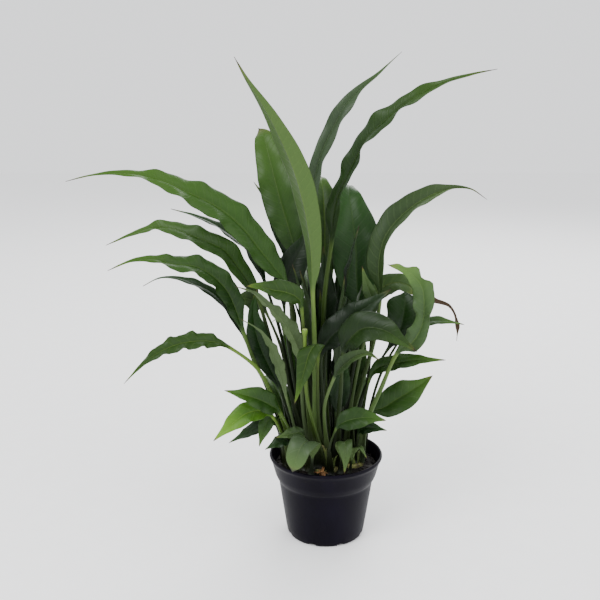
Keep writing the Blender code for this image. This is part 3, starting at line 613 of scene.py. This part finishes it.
# The points around one cross section, each with its place across the leaf and its vein number
def crossSection(row, along, bladeLength, stalkRadius, phases, look):
    middle, side, up = Vector(row[0:3]), Vector(row[3:6]), Vector(row[6:9])
    up.normalize()
    side = (side - up * side.dot(up)).normalized()
    lift, thick = float(row[10]), float(row[11])
    share = max(0.0, along)
    half = halfWidth(float(row[9]), share, look)
    lamina = rise(share, *widthPlaces["lamina"])
    foot = smooth((-along - 0.45) / 0.5)
    rib = max(leafShape["thinnestRib"] * mm, leafShape["ribShare"] * stalkRadius * (1.0 - share) ** 1.2)
    around = {1: [], -1: []}
    for u in acrossPlaces:
        vein = veinNumber(u, share, half, bladeLength)
        x, height = bladeSpot(u, share, half, lift, vein, phases, look)
        sheet = leafShape["bladeThickness"] * mm * (1.0 - leafShape["edgeThinning"] * abs(u)**5)
        ribRise = math.exp(-((x / rib) ** 2) * 1.3)
        levels = {
            1: height + sheet / 2 - leafShape["ribDip"] * rib * ribRise,
            -1: height - sheet / 2 - rib * ribRise,
        }
        for face, level in levels.items():
            spot = stalkSpot(u, face, half, thick, foot, look).lerp(Vector((x, level)), lamina)
            around[face].append((middle + side * spot.x + up * spot.y, u, vein))
    return around[1][:-1] + around[-1][:0:-1]


# What the leaf's finish reads at one point, under the names in leafAttributes
def leafMarks(along, u, vein, look):
    # the half of the blade that takes painted shade
    shade = look["darkLeft"] if u < 0.0 else look["darkRight"]
    onBlade = smooth((along + 0.12) / 0.16)
    return {
        "across": u,
        "along": along,
        "vein": vein,
        "tint": look["tint"],
        "dryness": look["dryness"],
        "halfShade": 0.0 if along < 0.0 or u == 0.0 else shade,
        "light": look["stalkLight"] + (look["light"] - look["stalkLight"]) * onBlade,
        "grey": look["grey"],
    }


def addMarked(solid, layers, point, marks):
    vert = solid.verts.new(point)
    for key, value in marks.items():
        vert[layers[key]] = value
    return vert


# A closed leaf along the cross sections in rows
def buildLeaf(rows, look, seed):
    look = {**usualLeaf, **look}
    chance = random.Random(seed)
    phases = [chance.uniform(0.0, 1.0) for _ in range(3)]
    halves = rows[:, 9]
    slender = [k for k in range(1, int(halves.argmax())) if halves[k] < leafShape["collarSwell"] * halves[1]]
    collar = max(slender, default=1)
    stalkStep, bladeStep = leafShape["stalkStep"] * mm, leafShape["bladeStep"] * mm
    stalkPlaces, _ = evenPlaces(rows, 0, collar, stalkStep, leafShape["stalkSections"])
    bladePlaces, bladeLength = evenPlaces(rows, collar, len(rows) - 1, bladeStep, leafShape["bladeSections"])
    # along runs from -1 at the root to 0 where the blade starts, and to 1 at the tip
    stations = [(t, k / (len(stalkPlaces) - 1) - 1.0) for k, t in enumerate(stalkPlaces[:-1])]
    stations += [(t, k / (len(bladePlaces) - 1)) for k, t in enumerate(bladePlaces)]

    solid = bmesh.new()
    layers = {key: solid.verts.layers.float.new(key) for key in leafAttributes}
    upperLayer = solid.faces.layers.float.new("upper")
    loops = []
    for t, along in stations:
        section = crossSection(catmull(rows, t), along, bladeLength, float(halves[collar]), phases, look)
        marked = ((point, leafMarks(along, u, vein, look)) for point, u, vein in section)
        loops.append([addMarked(solid, layers, point, marks) for point, marks in marked])
    count = len(loops[0])
    upperCount = len(acrossPlaces) - 1
    for lower, upper in zip(loops, loops[1:]):
        for k in range(count):
            j = (k + 1) % count
            face = solid.faces.new((lower[k], lower[j], upper[j], upper[k]))
            face[upperLayer] = 1.0 if k < upperCount else -1.0
    solid.faces.new(loops[0])
    solid.faces.new(loops[-1])
    if solid.calc_volume(signed=True) < 0.0:
        bmesh.ops.reverse_faces(solid, faces=solid.faces)
    return solid


def growLeaf(nodeName, rootLevels, seed):
    rows = traceSections(frame["nodes"][nodeName], rootLevels)
    solid = buildLeaf(rows, leafLooks.get(nodeName, {}), seed)
    grown.append(BVHTree.FromBMesh(solid))
    leaf = addPiece(camel(nodeName), solid, finishes[nodeSlots[nodeName]])
    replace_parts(leaf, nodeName)


def camel(nodeName):
    first, *rest = nodeName.split("_")
    return first + "".join(word.capitalize() for word in rest)


def addPiece(name, solid, material):
    for face in solid.faces:
        face.smooth = True
    mesh = bpy.data.meshes.new(name)
    solid.to_mesh(mesh)
    solid.free()
    mesh.materials.append(material)
    piece = addObject(name, mesh)
    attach(piece, "root")
    return piece


grown = []
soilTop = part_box("soil")[1][2]
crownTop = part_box("crown_left")[1][2]
standOff = 0.3 * mm
rootLevels = (crownTop + standOff, soilTop + standOff)
leafNames = sorted(name for name in nodeSlots if name.startswith("leaf_"))
for order, name in enumerate(leafNames):
    growLeaf(name, rootLevels, seeds["leaves"] + order)
print("leaves grown,", len(leafNames))

# ---- young leaves that fill the middle of the clump, each placed where it touches no other

innerLeaves = {
    "count": 26,
    "tries": 6000,
    "thrift": 0.55,  # how much slimmer the last ones tried are
    "reach": (4.0, 44.0),  # millimetres from the middle of the pot to a root
    "stalk": (70.0, 150.0),
    "blade": (70.0, 120.0),
    "width": (14.0, 28.0),
    "lean": (0.02, 0.36),  # radians outwards
    "spread": 62.0,  # furthest tip from the middle of the pot
    "frontLimit": -8.0,  # no roots further forward than this
    "gap": 0.8,  # least room around the midline, beside gapShare of the half width
    "gapShare": 0.7,
    "stalkRadius": 1.5,
    "stalkPlaces": (0.0, 0.3, 0.6, 1.0),
    "bladeSections": 7,
    "bend": 1.6,  # how much more the leaf's direction leans than its place does
    "foldShare": 0.26,  # how far the margins lie above the midrib, next to the half width
    "thinnest": 0.9,
    "narrowest": 0.4,
}
# painted shade: the inner leaves take a low light mark, darkened as shade of the clump's middle
innerLook = {"wave": 1.2, "waves": 3, "sheath": 0.3, "light": 0.5, "stalkLight": 0.28}
innerTint = (-0.3, 0.1)
skyward = Vector((0.0, 0.0, 1.0))


def levelWay(angle):
    return Vector((math.cos(angle), math.sin(angle), 0.0))


# Cross sections like those of traceSections, for a leaf that leans more and more outwards
def innerRows(root, turn, shape):
    outward = levelWay(turn)
    sections, radius = innerLeaves["bladeSections"], innerLeaves["stalkRadius"]
    rows = []
    for place in [*innerLeaves["stalkPlaces"], *(1.0 + k / sections for k in range(1, sections + 1))]:
        blade = max(0.0, place - 1.0)
        run = shape["stalk"] * place if place <= 1.0 else shape["stalk"] + shape["blade"] * (place - 1.0)
        share = run / (shape["stalk"] + shape["blade"])
        tilt = shape["lean"] * (0.4 + 1.3 * share**1.5)
        steep = tilt * innerLeaves["bend"]
        heading = (skyward * math.cos(steep) + outward * math.sin(steep)).normalized()
        middle = root + (skyward * math.cos(tilt) + outward * math.sin(tilt)) * run * mm
        side = heading.cross(-outward).normalized()
        up = side.cross(heading).normalized()
        swell = math.sin(math.pi * blade**0.75) if 0.0 < blade < 1.0 else 0.0
        half = max(0.5 * shape["width"] * swell, radius * (1.0 - blade) ** 3, innerLeaves["narrowest"]) * mm
        thick = max(innerLeaves["thinnest"], 1.7 * radius * (1.0 - blade) ** 3) * mm
        rows.append((*middle, *side, *up, half, innerLeaves["foldShare"] * half if blade else 0.0, thick))
    return np.array(rows)


# Whether the leaf's midline comes close to a leaf that already stands
def isCrowded(rows):
    for row in rows:
        room = row[9] * innerLeaves["gapShare"] + innerLeaves["gap"] * mm
        if any(skin.find_nearest(Vector(row[:3]), room)[0] is not None for skin in grown):
            return True
    return False


def growInnerLeaves():
    chance = random.Random(seeds["innerPlaces"])
    standing = 0
    for attempt in range(innerLeaves["tries"]):
        if standing == innerLeaves["count"]:
            break
        reach, turn = chance.uniform(*innerLeaves["reach"]) * mm, chance.uniform(0.0, math.tau)
        root = Vector((reach * math.cos(turn), reach * math.sin(turn), soilTop + standOff))
        shape = {key: chance.uniform(*innerLeaves[key]) for key in ("stalk", "blade", "width", "lean")}
        shape["width"] *= 1.0 - innerLeaves["thrift"] * attempt / innerLeaves["tries"]
        if root.y < innerLeaves["frontLimit"] * mm:
            continue
        rows = innerRows(root, turn + chance.uniform(-0.5, 0.5), shape)
        if math.hypot(rows[-1][0], rows[-1][1]) > innerLeaves["spread"] * mm or isCrowded(rows):
            continue
        look = {**innerLook, "tint": chance.uniform(*innerTint)}
        solid = buildLeaf(rows, look, seeds["innerLeaves"] + attempt)
        skin = BVHTree.FromBMesh(solid)
        if any(skin.overlap(other) for other in grown):
            solid.free()
            continue
        grown.append(skin)
        # painted shade: three of four inner leaves take the dark finish as shade of the clump's middle
        slot = "leaf_green" if standing % 4 == 3 else "leaf_dark"
        addPiece("innerLeaf" + str(standing + 1), solid, finishes[slot])
        standing += 1
    return standing


print("inner leaves grown,", growInnerLeaves())

# ---- pot

potShape = {
    "segments": 160,
    # radius and height of the outside, then of the inside, in millimetres
    "outside": [
        (0.0, 0.0), (30.0, 0.0), (38.0, 0.05), (39.6, 0.4), (40.5, 1.2), (41.2, 2.8), (42.5, 10.0),
        (44.0, 20.0), (45.5, 30.0), (47.0, 40.0), (48.5, 50.0), (49.8, 59.0), (50.2, 61.4), (50.9, 62.4),
        (52.2, 64.8), (53.5, 67.8), (54.0, 69.2), (54.6, 71.4), (56.0, 76.8), (57.6, 82.6), (58.6, 85.4),
        (59.5, 86.3), (59.95, 87.4), (59.95, 88.7), (59.5, 89.6), (58.9, 89.95), (58.2, 89.9), (57.7, 89.3),
    ],
    "inside": [
        (57.3, 87.6), (55.7, 81.0), (52.7, 69.0), (49.0, 62.0), (45.0, 34.0), (40.2, 1.9), (39.4, 1.4),
        (0.0, 1.4),
    ],
    "slots": 8,
    "slotWidth": 9.0,
    "slotHeight": 3.6,
    "slotDepth": 8.0,
    "slotRadius": 41.0,  # from the middle of the pot to the middle of a slot
    "slotRounding": 0.8,
    "sharpAngle": 38.0,  # degrees
}


def makePotFinish():
    p = Paints("pot_plastic")
    coarse = p.noise(36.0, 4.0)
    grain = p.noise(1400.0, 2.0)
    flow = p.noise(60.0, 3.0, 0.5, p.stretched((1.0, 1.0, 0.12)))
    scuffs = p.noise(260.0, 5.0, 0.7, p.stretched((1.0, 1.0, 3.5)))
    height = p.height()
    colour = p.mix(screen(3, 1, 9), screen(7, 4, 17), p.step(coarse * 0.6 + flow * 0.4, 0.35, 0.7))
    dust = p.step(scuffs, 0.60, 0.78) * (0.35 + (1.0 - p.step(height, 0.0, 0.03)) * 0.4)
    colour = p.mix(colour, screen(62, 58, 60), dust * 0.22)
    splash = p.step(p.noise(520.0, 2.0), 0.70, 0.76) * p.step(height, 0.07, 0.088)
    colour = p.mix(colour, screen(70, 54, 38), splash * 0.5)
    roughness = 0.40 + (coarse - 0.5) * 0.18 + dust * 0.25 + grain * 0.06
    normal = p.bump(grain * 0.5 + scuffs * 0.4, 0.00025, 0.35)
    return p.finish(Base_Color=colour, Roughness=roughness, Normal=normal, Specular_IOR_Level=0.07)


def makePot():
    solid = bmesh.new()
    rings = []
    for radius, height in potShape["outside"] + potShape["inside"]:
        rings.append(circle(solid, radius * mm, height * mm, potShape["segments"] if radius else 1))
    bridge(solid, rings)
    cutter = bmesh.new()
    for k in range(potShape["slots"]):
        turn = Matrix.Rotation(math.tau * (k + 0.5) / potShape["slots"], 4, "Z")
        size = Vector((potShape["slotDepth"], potShape["slotWidth"], 2.0 * potShape["slotHeight"])) * mm
        place = turn @ Matrix.Translation((potShape["slotRadius"] * mm, 0.0, 0.0))
        place = place @ Matrix.Diagonal((*size, 1.0))
        block = bmesh.ops.create_cube(cutter, size=1.0, matrix=place)
        edges = list(dict.fromkeys(edge for vert in block["verts"] for edge in vert.link_edges))
        rounding = potShape["slotRounding"] * mm
        bmesh.ops.bevel(cutter, geom=edges, offset=rounding, segments=2, affect="EDGES")
    pot = addPiece("nurseryPot", solid, makePotFinish())
    slots = addPiece("slotCutter", cutter, pot.data.materials[0])
    cut = pot.modifiers.new("slots", "BOOLEAN")
    cut.operation = "DIFFERENCE"
    cut.solver = "EXACT"
    cut.object = slots
    keepEvaluated(pot)
    bpy.data.objects.remove(slots, do_unlink=True)
    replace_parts(pot, "pot")
    pot.data.set_sharp_from_angle(angle=math.radians(potShape["sharpAngle"]))


# New corners evenly round the middle of the pot; a single one lies at angle 0
def circle(solid, radius, height, count):
    angles = [math.tau * k / count for k in range(count)]
    return [solid.verts.new((radius * math.cos(a), radius * math.sin(a), height)) for a in angles]


# Joins rings of points, each a circle or a single point, into a closed skin
def bridge(solid, rings):
    for lower, upper in zip(rings, rings[1:]):
        count = max(len(lower), len(upper))
        for k in range(count):
            j = (k + 1) % count
            corners = [lower[k % len(lower)], lower[j % len(lower)]]
            corners += [upper[j % len(upper)], upper[k % len(upper)]]
            solid.faces.new(list(dict.fromkeys(corners)))


def keepEvaluated(piece):
    shown = piece.evaluated_get(bpy.context.evaluated_depsgraph_get())
    mesh = bpy.data.meshes.new_from_object(shown)
    piece.modifiers.clear()
    piece.data = mesh


makePot()
print("pot made")

# ---- soil

soilShape = {
    "rings": 46,
    "segments": 150,
    "relief": 1.3,  # millimetres, like every size here
    "reliefDrop": 0.55,  # how far it lies below the CAD solid's top, next to the relief
    "bumps": ((0.6, 9.0), (0.4, 3.5), (0.2, 1.6)),  # height next to the relief, and size
    "edgeGap": 0.3,
    "edgeDrop": 1.6,
    "edgeStart": 0.9,
    "lowerRings": ((47.5, 60.0), (41.0, 3.0)),  # radius and height under the surface
    "crumbs": 420,
    "barkPieces": 60,
    "crumbSize": (0.7, 2.6),
    "crumbStretch": (1.0, 1.0, 0.75),
    "barkStretch": (2.4, 0.9, 0.4),
    "barkGrowth": 1.3,
    "crumbTilt": 0.4,
    "crumbSpread": 0.97,
    "crumbRoughness": 0.45,
}


def makeSoilFinish():
    p = Paints("potting_soil")
    coarse = p.noise(120.0, 5.0, 0.65)
    fine = p.noise(900.0, 4.0, 0.7)
    colour = p.mix(screen(9, 6, 6), screen(30, 21, 16), p.step(coarse * 0.5 + fine * 0.5, 0.40, 0.68))
    fibres = p.step(p.noise(700.0, 3.0, 0.6, p.stretched((1.0, 0.12, 1.0))), 0.66, 0.74)
    colour = p.mix(colour, screen(70, 50, 32), fibres * 0.35)
    wet = p.step(coarse, 0.45, 0.6)
    normal = p.bump(coarse * 0.5 + fine * 0.6, 0.0009, 0.9)
    return p.finish(Base_Color=colour, Roughness=0.92 - wet * 0.25, Normal=normal, Specular_IOR_Level=0.3)


def soilHeight(x, y):
    place = Vector((x, y, 0.0)) / mm
    bumps = sum(height * noise.noise(place / size) for height, size in soilShape["bumps"])
    return soilShape["relief"] * mm * (bumps - soilShape["reliefDrop"])


# One lump of peat, or a longer flake of bark
def addCrumb(solid, top, outer, isBark, chance):
    radius = outer * math.sqrt(chance.random()) * soilShape["crumbSpread"]
    angle = chance.uniform(0.0, math.tau)
    x, y = radius * math.cos(angle), radius * math.sin(angle)
    size = chance.uniform(*soilShape["crumbSize"]) * mm * 0.5
    stretch = soilShape["crumbStretch"]
    if isBark:
        size, stretch = size * soilShape["barkGrowth"], soilShape["barkStretch"]
    tilt = soilShape["crumbTilt"]
    turn = Euler((chance.uniform(-tilt, tilt), chance.uniform(-tilt, tilt), chance.uniform(0.0, math.tau)))
    place = Matrix.Translation((x, y, top + soilHeight(x, y) + size * 0.1)) @ turn.to_matrix().to_4x4()
    place = place @ Matrix.Diagonal((*stretch, 1.0))
    crumb = bmesh.ops.create_icosphere(solid, subdivisions=1, radius=size, matrix=place)
    for vert in crumb["verts"]:
        vert.co += noise.noise_vector(vert.co / mm * 1.7) * size * soilShape["crumbRoughness"]


def makeSoil():
    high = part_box("soil")[1]
    top = high[2]
    outer = high[0] - soilShape["edgeGap"] * mm
    segments = soilShape["segments"]
    solid = bmesh.new()
    rings = [[solid.verts.new((0.0, 0.0, top + soilHeight(0.0, 0.0)))]]
    for k in range(1, soilShape["rings"] + 1):
        share = k / soilShape["rings"]
        drop = soilShape["edgeDrop"] * mm * smooth((share - soilShape["edgeStart"]) / 0.1)
        ring = []
        for j in range(segments):
            angle = math.tau * j / segments
            x, y = outer * share * math.cos(angle), outer * share * math.sin(angle)
            ring.append(solid.verts.new((x, y, top + soilHeight(x, y) - drop)))
        rings.append(ring)
    rings.append(circle(solid, outer - 2.0 * mm, 70.0 * mm, segments))
    rings += [circle(solid, radius * mm, height * mm, segments) for radius, height in soilShape["lowerRings"]]
    rings.append([solid.verts.new((0.0, 0.0, soilShape["lowerRings"][-1][1] * mm))])
    bridge(solid, rings)
    chance = random.Random(seeds["crumbs"])
    noise.seed_set(seeds["crumbs"])  # noise_vector takes its seed from the clock otherwise
    for k in range(soilShape["crumbs"] + soilShape["barkPieces"]):
        addCrumb(solid, top, outer, k >= soilShape["crumbs"], chance)
    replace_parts(addPiece("pottingSoil", solid, makeSoilFinish()), "soil")


makeSoil()
print("soil made")

# ---- crowns, the cut stalk and the dry sheath


def makeCrownFinish():
    p = Paints("crown_tissue")
    coarse = p.noise(160.0, 4.0)
    fibres = p.noise(600.0, 3.0, 0.6, p.stretched((1.0, 1.0, 0.15)))
    colour = p.mix(screen(74, 66, 38), screen(120, 124, 66), p.step(coarse, 0.35, 0.65))
    colour = p.mix(colour, screen(52, 38, 22), p.step(fibres, 0.5, 0.7) * 0.6)
    normal = p.bump(fibres + coarse * 0.5, 0.0006, 0.7)
    return p.finish(Base_Color=colour, Roughness=0.6 + fibres * 0.2, Normal=normal)


def makeHuskFinish():
    p = Paints("dry_husk")
    coarse = p.noise(140.0, 4.0)
    fibres = p.noise(900.0, 3.0, 0.6, p.stretched((0.3, 1.0, 1.0)))
    colour = p.mix(screen(92, 60, 30), screen(150, 106, 60), p.step(coarse, 0.35, 0.7))
    colour = p.mix(colour, screen(54, 34, 18), p.step(fibres, 0.52, 0.72) * 0.7)
    normal = p.bump(fibres + coarse * 0.6, 0.0006, 0.8)
    return p.finish(Base_Color=colour, Roughness=0.62 + fibres * 0.2, Normal=normal)


def makeSheathFinish():
    p = Paints("stalk_sheath")
    coarse = p.noise(90.0, 4.0)
    fibres = p.noise(800.0, 3.0, 0.6, p.stretched((1.0, 1.0, 0.05)))
    height = p.height()
    colour = p.mix(screen(62, 74, 34), screen(96, 116, 54), p.step(coarse, 0.35, 0.65))
    colour = p.mix(colour, screen(36, 48, 22), p.step(fibres, 0.5, 0.72) * 0.55)
    torn = p.step(height + (coarse - 0.5) * 0.03, 0.100, 0.116)
    colour = p.mix(colour, screen(104, 78, 40), torn * 0.6)
    return p.finish(Base_Color=colour, Roughness=0.5 + fibres * 0.2, Normal=p.bump(fibres, 0.0005, 0.6))


def makeCutFinish():
    p = Paints("cut_face")
    pith = p.noise(1100.0, 3.0)
    colour = p.mix(screen(120, 140, 74), screen(164, 178, 108), p.step(pith, 0.4, 0.65))
    return p.finish(Base_Color=colour, Roughness=0.55 + pith * 0.1, Normal=p.bump(pith, 0.0004, 0.6))


crownFinish = makeCrownFinish()
crownNames = ("crown_left", "crown_middle", "crown_right", "crown_back")
for name in crownNames:
    frame["nodes"][name].material_slots[0].material = crownFinish

cutStalk = {
    "step": 2.2,
    "sections": 20,
    "segments": 16,
    "grooves": 0.10,  # depth of its ribs next to its radius
    "footSwell": 1.12,  # the width of its foot next to that of the CAD solid
    "taper": 0.2,
    "knobLength": 7.0,
    "knobSwell": 1.75,
    "knobRound": 0.72,  # how much of a half wave the knob's outline is
    "cutDip": 0.8,
}
drySheath = {"flaps": 7, "turn": 0.4, "length": (8.0, 15.0), "width": (3.5, 6.0), "lean": (0.5, 1.25)}
crownHusks = {
    "flaps": 9,
    "turn": 0.35,  # how far each crown's flaps turn from those of the crown before
    "length": (14.0, 34.0),
    "width": (6.0, 10.0),
    "lean": (0.10, 0.35),
    "ring": 10.5,
    "sink": 0.4,
}
flapShape = {
    "steps": 9,
    "columns": 6,
    "tear": (0.72, 1.0),  # how much of each column is left
    "cup": 0.55,
    "halfThickness": 0.14,
    "crease": 0.5,
    "creaseSize": 2.6,
}


# The middle and radius of each ring of a round rod, from its lowest end
def traceRod(node):
    solid = weldedCopy(node)
    lowest = min(vert.co.z for vert in solid.verts)
    rows = []
    for ring in ringsFrom([vert for vert in solid.verts if vert.co.z < lowest + 0.8 * mm]):
        middle = sum((vert.co for vert in ring), Vector()) / len(ring)
        rows.append((*middle, sum((vert.co - middle).length for vert in ring) / len(ring)))
    solid.free()
    return np.array(rows)


# How wide the cut stalk is next to its CAD solid: a slow taper, then the knob at its end
def cutStalkSwell(share, knob):
    intoKnob = max(0.0, (share - 1.0 + knob) / knob)
    bulge = math.sin(math.pi * min(1.0, intoKnob * cutStalk["knobRound"]))
    return cutStalk["footSwell"] - cutStalk["taper"] * share, 1.0 + (cutStalk["knobSwell"] - 1.0) * bulge


def makeCutStalk():
    rows = traceRod(frame["nodes"]["cut_stalk"])
    last = len(rows) - 1
    places, length = evenPlaces(rows, 0, last, cutStalk["step"] * mm, cutStalk["sections"])
    solid = bmesh.new()
    layers = {key: solid.verts.layers.float.new(key) for key in leafAttributes}
    loops = []
    for k, t in enumerate(places):
        share = k / (len(places) - 1)
        row, ahead, behind = (catmull(rows, place) for place in (t, min(t + 0.05, last), max(t - 0.05, 0.0)))
        heading = Vector(ahead[:3] - behind[:3]).normalized()
        right = heading.cross(Vector((0.0, 1.0, 0.0))).normalized()
        front = heading.cross(right)
        taper, bulge = cutStalkSwell(share, cutStalk["knobLength"] * mm / length)
        radius = float(row[3]) * taper * bulge
        # painted shade: the cut stalk's light mark darkens it towards its foot
        marks = {"along": -0.6 + 0.55 * share, "across": 0.6, "tint": 0.3, "light": 0.34 + 0.44 * share**2}
        loop = []
        for j in range(cutStalk["segments"]):
            angle = math.tau * j / cutStalk["segments"]
            outward = right * math.cos(angle) + front * math.sin(angle)
            reach = radius * (1.0 - cutStalk["grooves"] * (j % 2))
            loop.append(addMarked(solid, layers, Vector(row[:3]) + outward * reach, marks))
        loops.append(loop)
    loops.append([solid.verts.new(Vector(rows[-1][:3]) - heading * cutStalk["cutDip"] * mm)])
    bridge(solid, [[solid.verts.new(Vector(rows[0][:3]))]] + loops)
    bmesh.ops.recalc_face_normals(solid, faces=solid.faces)
    for face in solid.faces:
        face.material_index = 1 if loops[-1][0] in face.verts else 0
    stalk = addPiece("cutStalk", solid, finishes["leaf_bright"])
    stalk.data.materials.append(makeCutFinish())
    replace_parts(stalk, "cut_stalk")


# One papery flap: thin, curled and torn at its end, standing at foot and leaning outwards
def addFlap(solid, foot, angle, length, width, lean, chance):
    outward = levelWay(angle)
    sideways = Vector((-math.sin(angle), math.cos(angle), 0.0))
    steps, columns = flapShape["steps"], flapShape["columns"]
    tear = [chance.uniform(*flapShape["tear"]) for _ in range(columns + 1)]
    sheets = []
    for face in (1, -1):
        sheet = []
        for i in range(steps + 1):
            row = []
            for j in range(columns + 1):
                u = 2.0 * j / columns - 1.0
                t = i / steps * tear[j]
                spread = width * 0.5 * (0.75 + 0.5 * t - 0.75 * t**2)
                bend = lean * t**1.4
                point = foot + skyward * length * t * math.cos(bend)
                point += outward * length * t * math.sin(bend)
                point += sideways * u * spread
                point -= outward * (u**2) * spread * flapShape["cup"]
                crumple = noise.noise(point / mm / flapShape["creaseSize"])
                crease = outward * flapShape["crease"] * mm * crumple
                point += outward * face * flapShape["halfThickness"] * mm + crease
                row.append(solid.verts.new(point))
            sheet.append(row)
        sheets.append(sheet)
    front, back = sheets
    for i in range(steps):
        for j in range(columns):
            solid.faces.new((front[i][j], front[i][j + 1], front[i + 1][j + 1], front[i + 1][j]))
            solid.faces.new((back[i][j + 1], back[i][j], back[i + 1][j], back[i + 1][j + 1]))
    for i in range(steps):
        solid.faces.new((front[i][0], front[i + 1][0], back[i + 1][0], back[i][0]))
        solid.faces.new((front[i + 1][-1], front[i][-1], back[i][-1], back[i + 1][-1]))
    for j in range(columns):
        solid.faces.new((front[0][j + 1], front[0][j], back[0][j], back[0][j + 1]))
        solid.faces.new((front[-1][j], front[-1][j + 1], back[-1][j + 1], back[-1][j]))


def makeFlaps(name, feet, shape, material, seed):
    chance = random.Random(seed)
    solid = bmesh.new()
    for foot, angle in feet:
        length, width = (chance.uniform(*shape[key]) * mm for key in ("length", "width"))
        addFlap(solid, foot, angle, length, width, chance.uniform(*shape["lean"]), chance)
    return addPiece(name, solid, material)


def makeDrySheath():
    low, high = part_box("dry_sheath")
    foot = Vector(((low[0] + high[0]) / 2, (low[1] + high[1]) / 2, low[2]))
    angles = [math.tau * k / drySheath["flaps"] + drySheath["turn"] for k in range(drySheath["flaps"])]
    feet = [(foot, angle) for angle in angles]
    sheath = makeFlaps("drySheath", feet, drySheath, makeHuskFinish(), seeds["drySheath"])
    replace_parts(sheath, "dry_sheath")


def makeCrownSheaths(name, order, finish):
    low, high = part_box(name)
    middle = Vector(((low[0] + high[0]) / 2, (low[1] + high[1]) / 2, high[2] - crownHusks["sink"] * mm))
    feet = []
    for k in range(crownHusks["flaps"]):
        angle = math.tau * k / crownHusks["flaps"] + crownHusks["turn"] * order
        feet.append((middle + levelWay(angle) * crownHusks["ring"] * mm, angle))
    seed = seeds["crownHusks"] + order
    makeFlaps(camel(name) + "Sheaths", feet, crownHusks, finish, seed)


makeCutStalk()
makeDrySheath()
sheathFinish = makeSheathFinish()
for order, name in enumerate(crownNames):
    makeCrownSheaths(name, order, sheathFinish)
print("crowns made")

# ---- floor


def makeFloor():
    p = Paints("paleFloor")
    speckle = p.noise(40.0, 3.0)
    colour = p.mix(screen(246, 246, 246), screen(251, 251, 251), speckle)
    material = p.finish(Base_Color=colour, Roughness=0.85)
    mesh = bpy.data.meshes.new("studioFloor")
    reach = studio["floorSize"] / 2
    corners = [(-reach, -reach, 0), (reach, -reach, 0), (reach, reach, 0), (-reach, reach, 0)]
    mesh.from_pydata(corners, [], [(0, 1, 2, 3)])
    mesh.materials.append(material)
    addObject("studioFloor", mesh)


makeFloor()
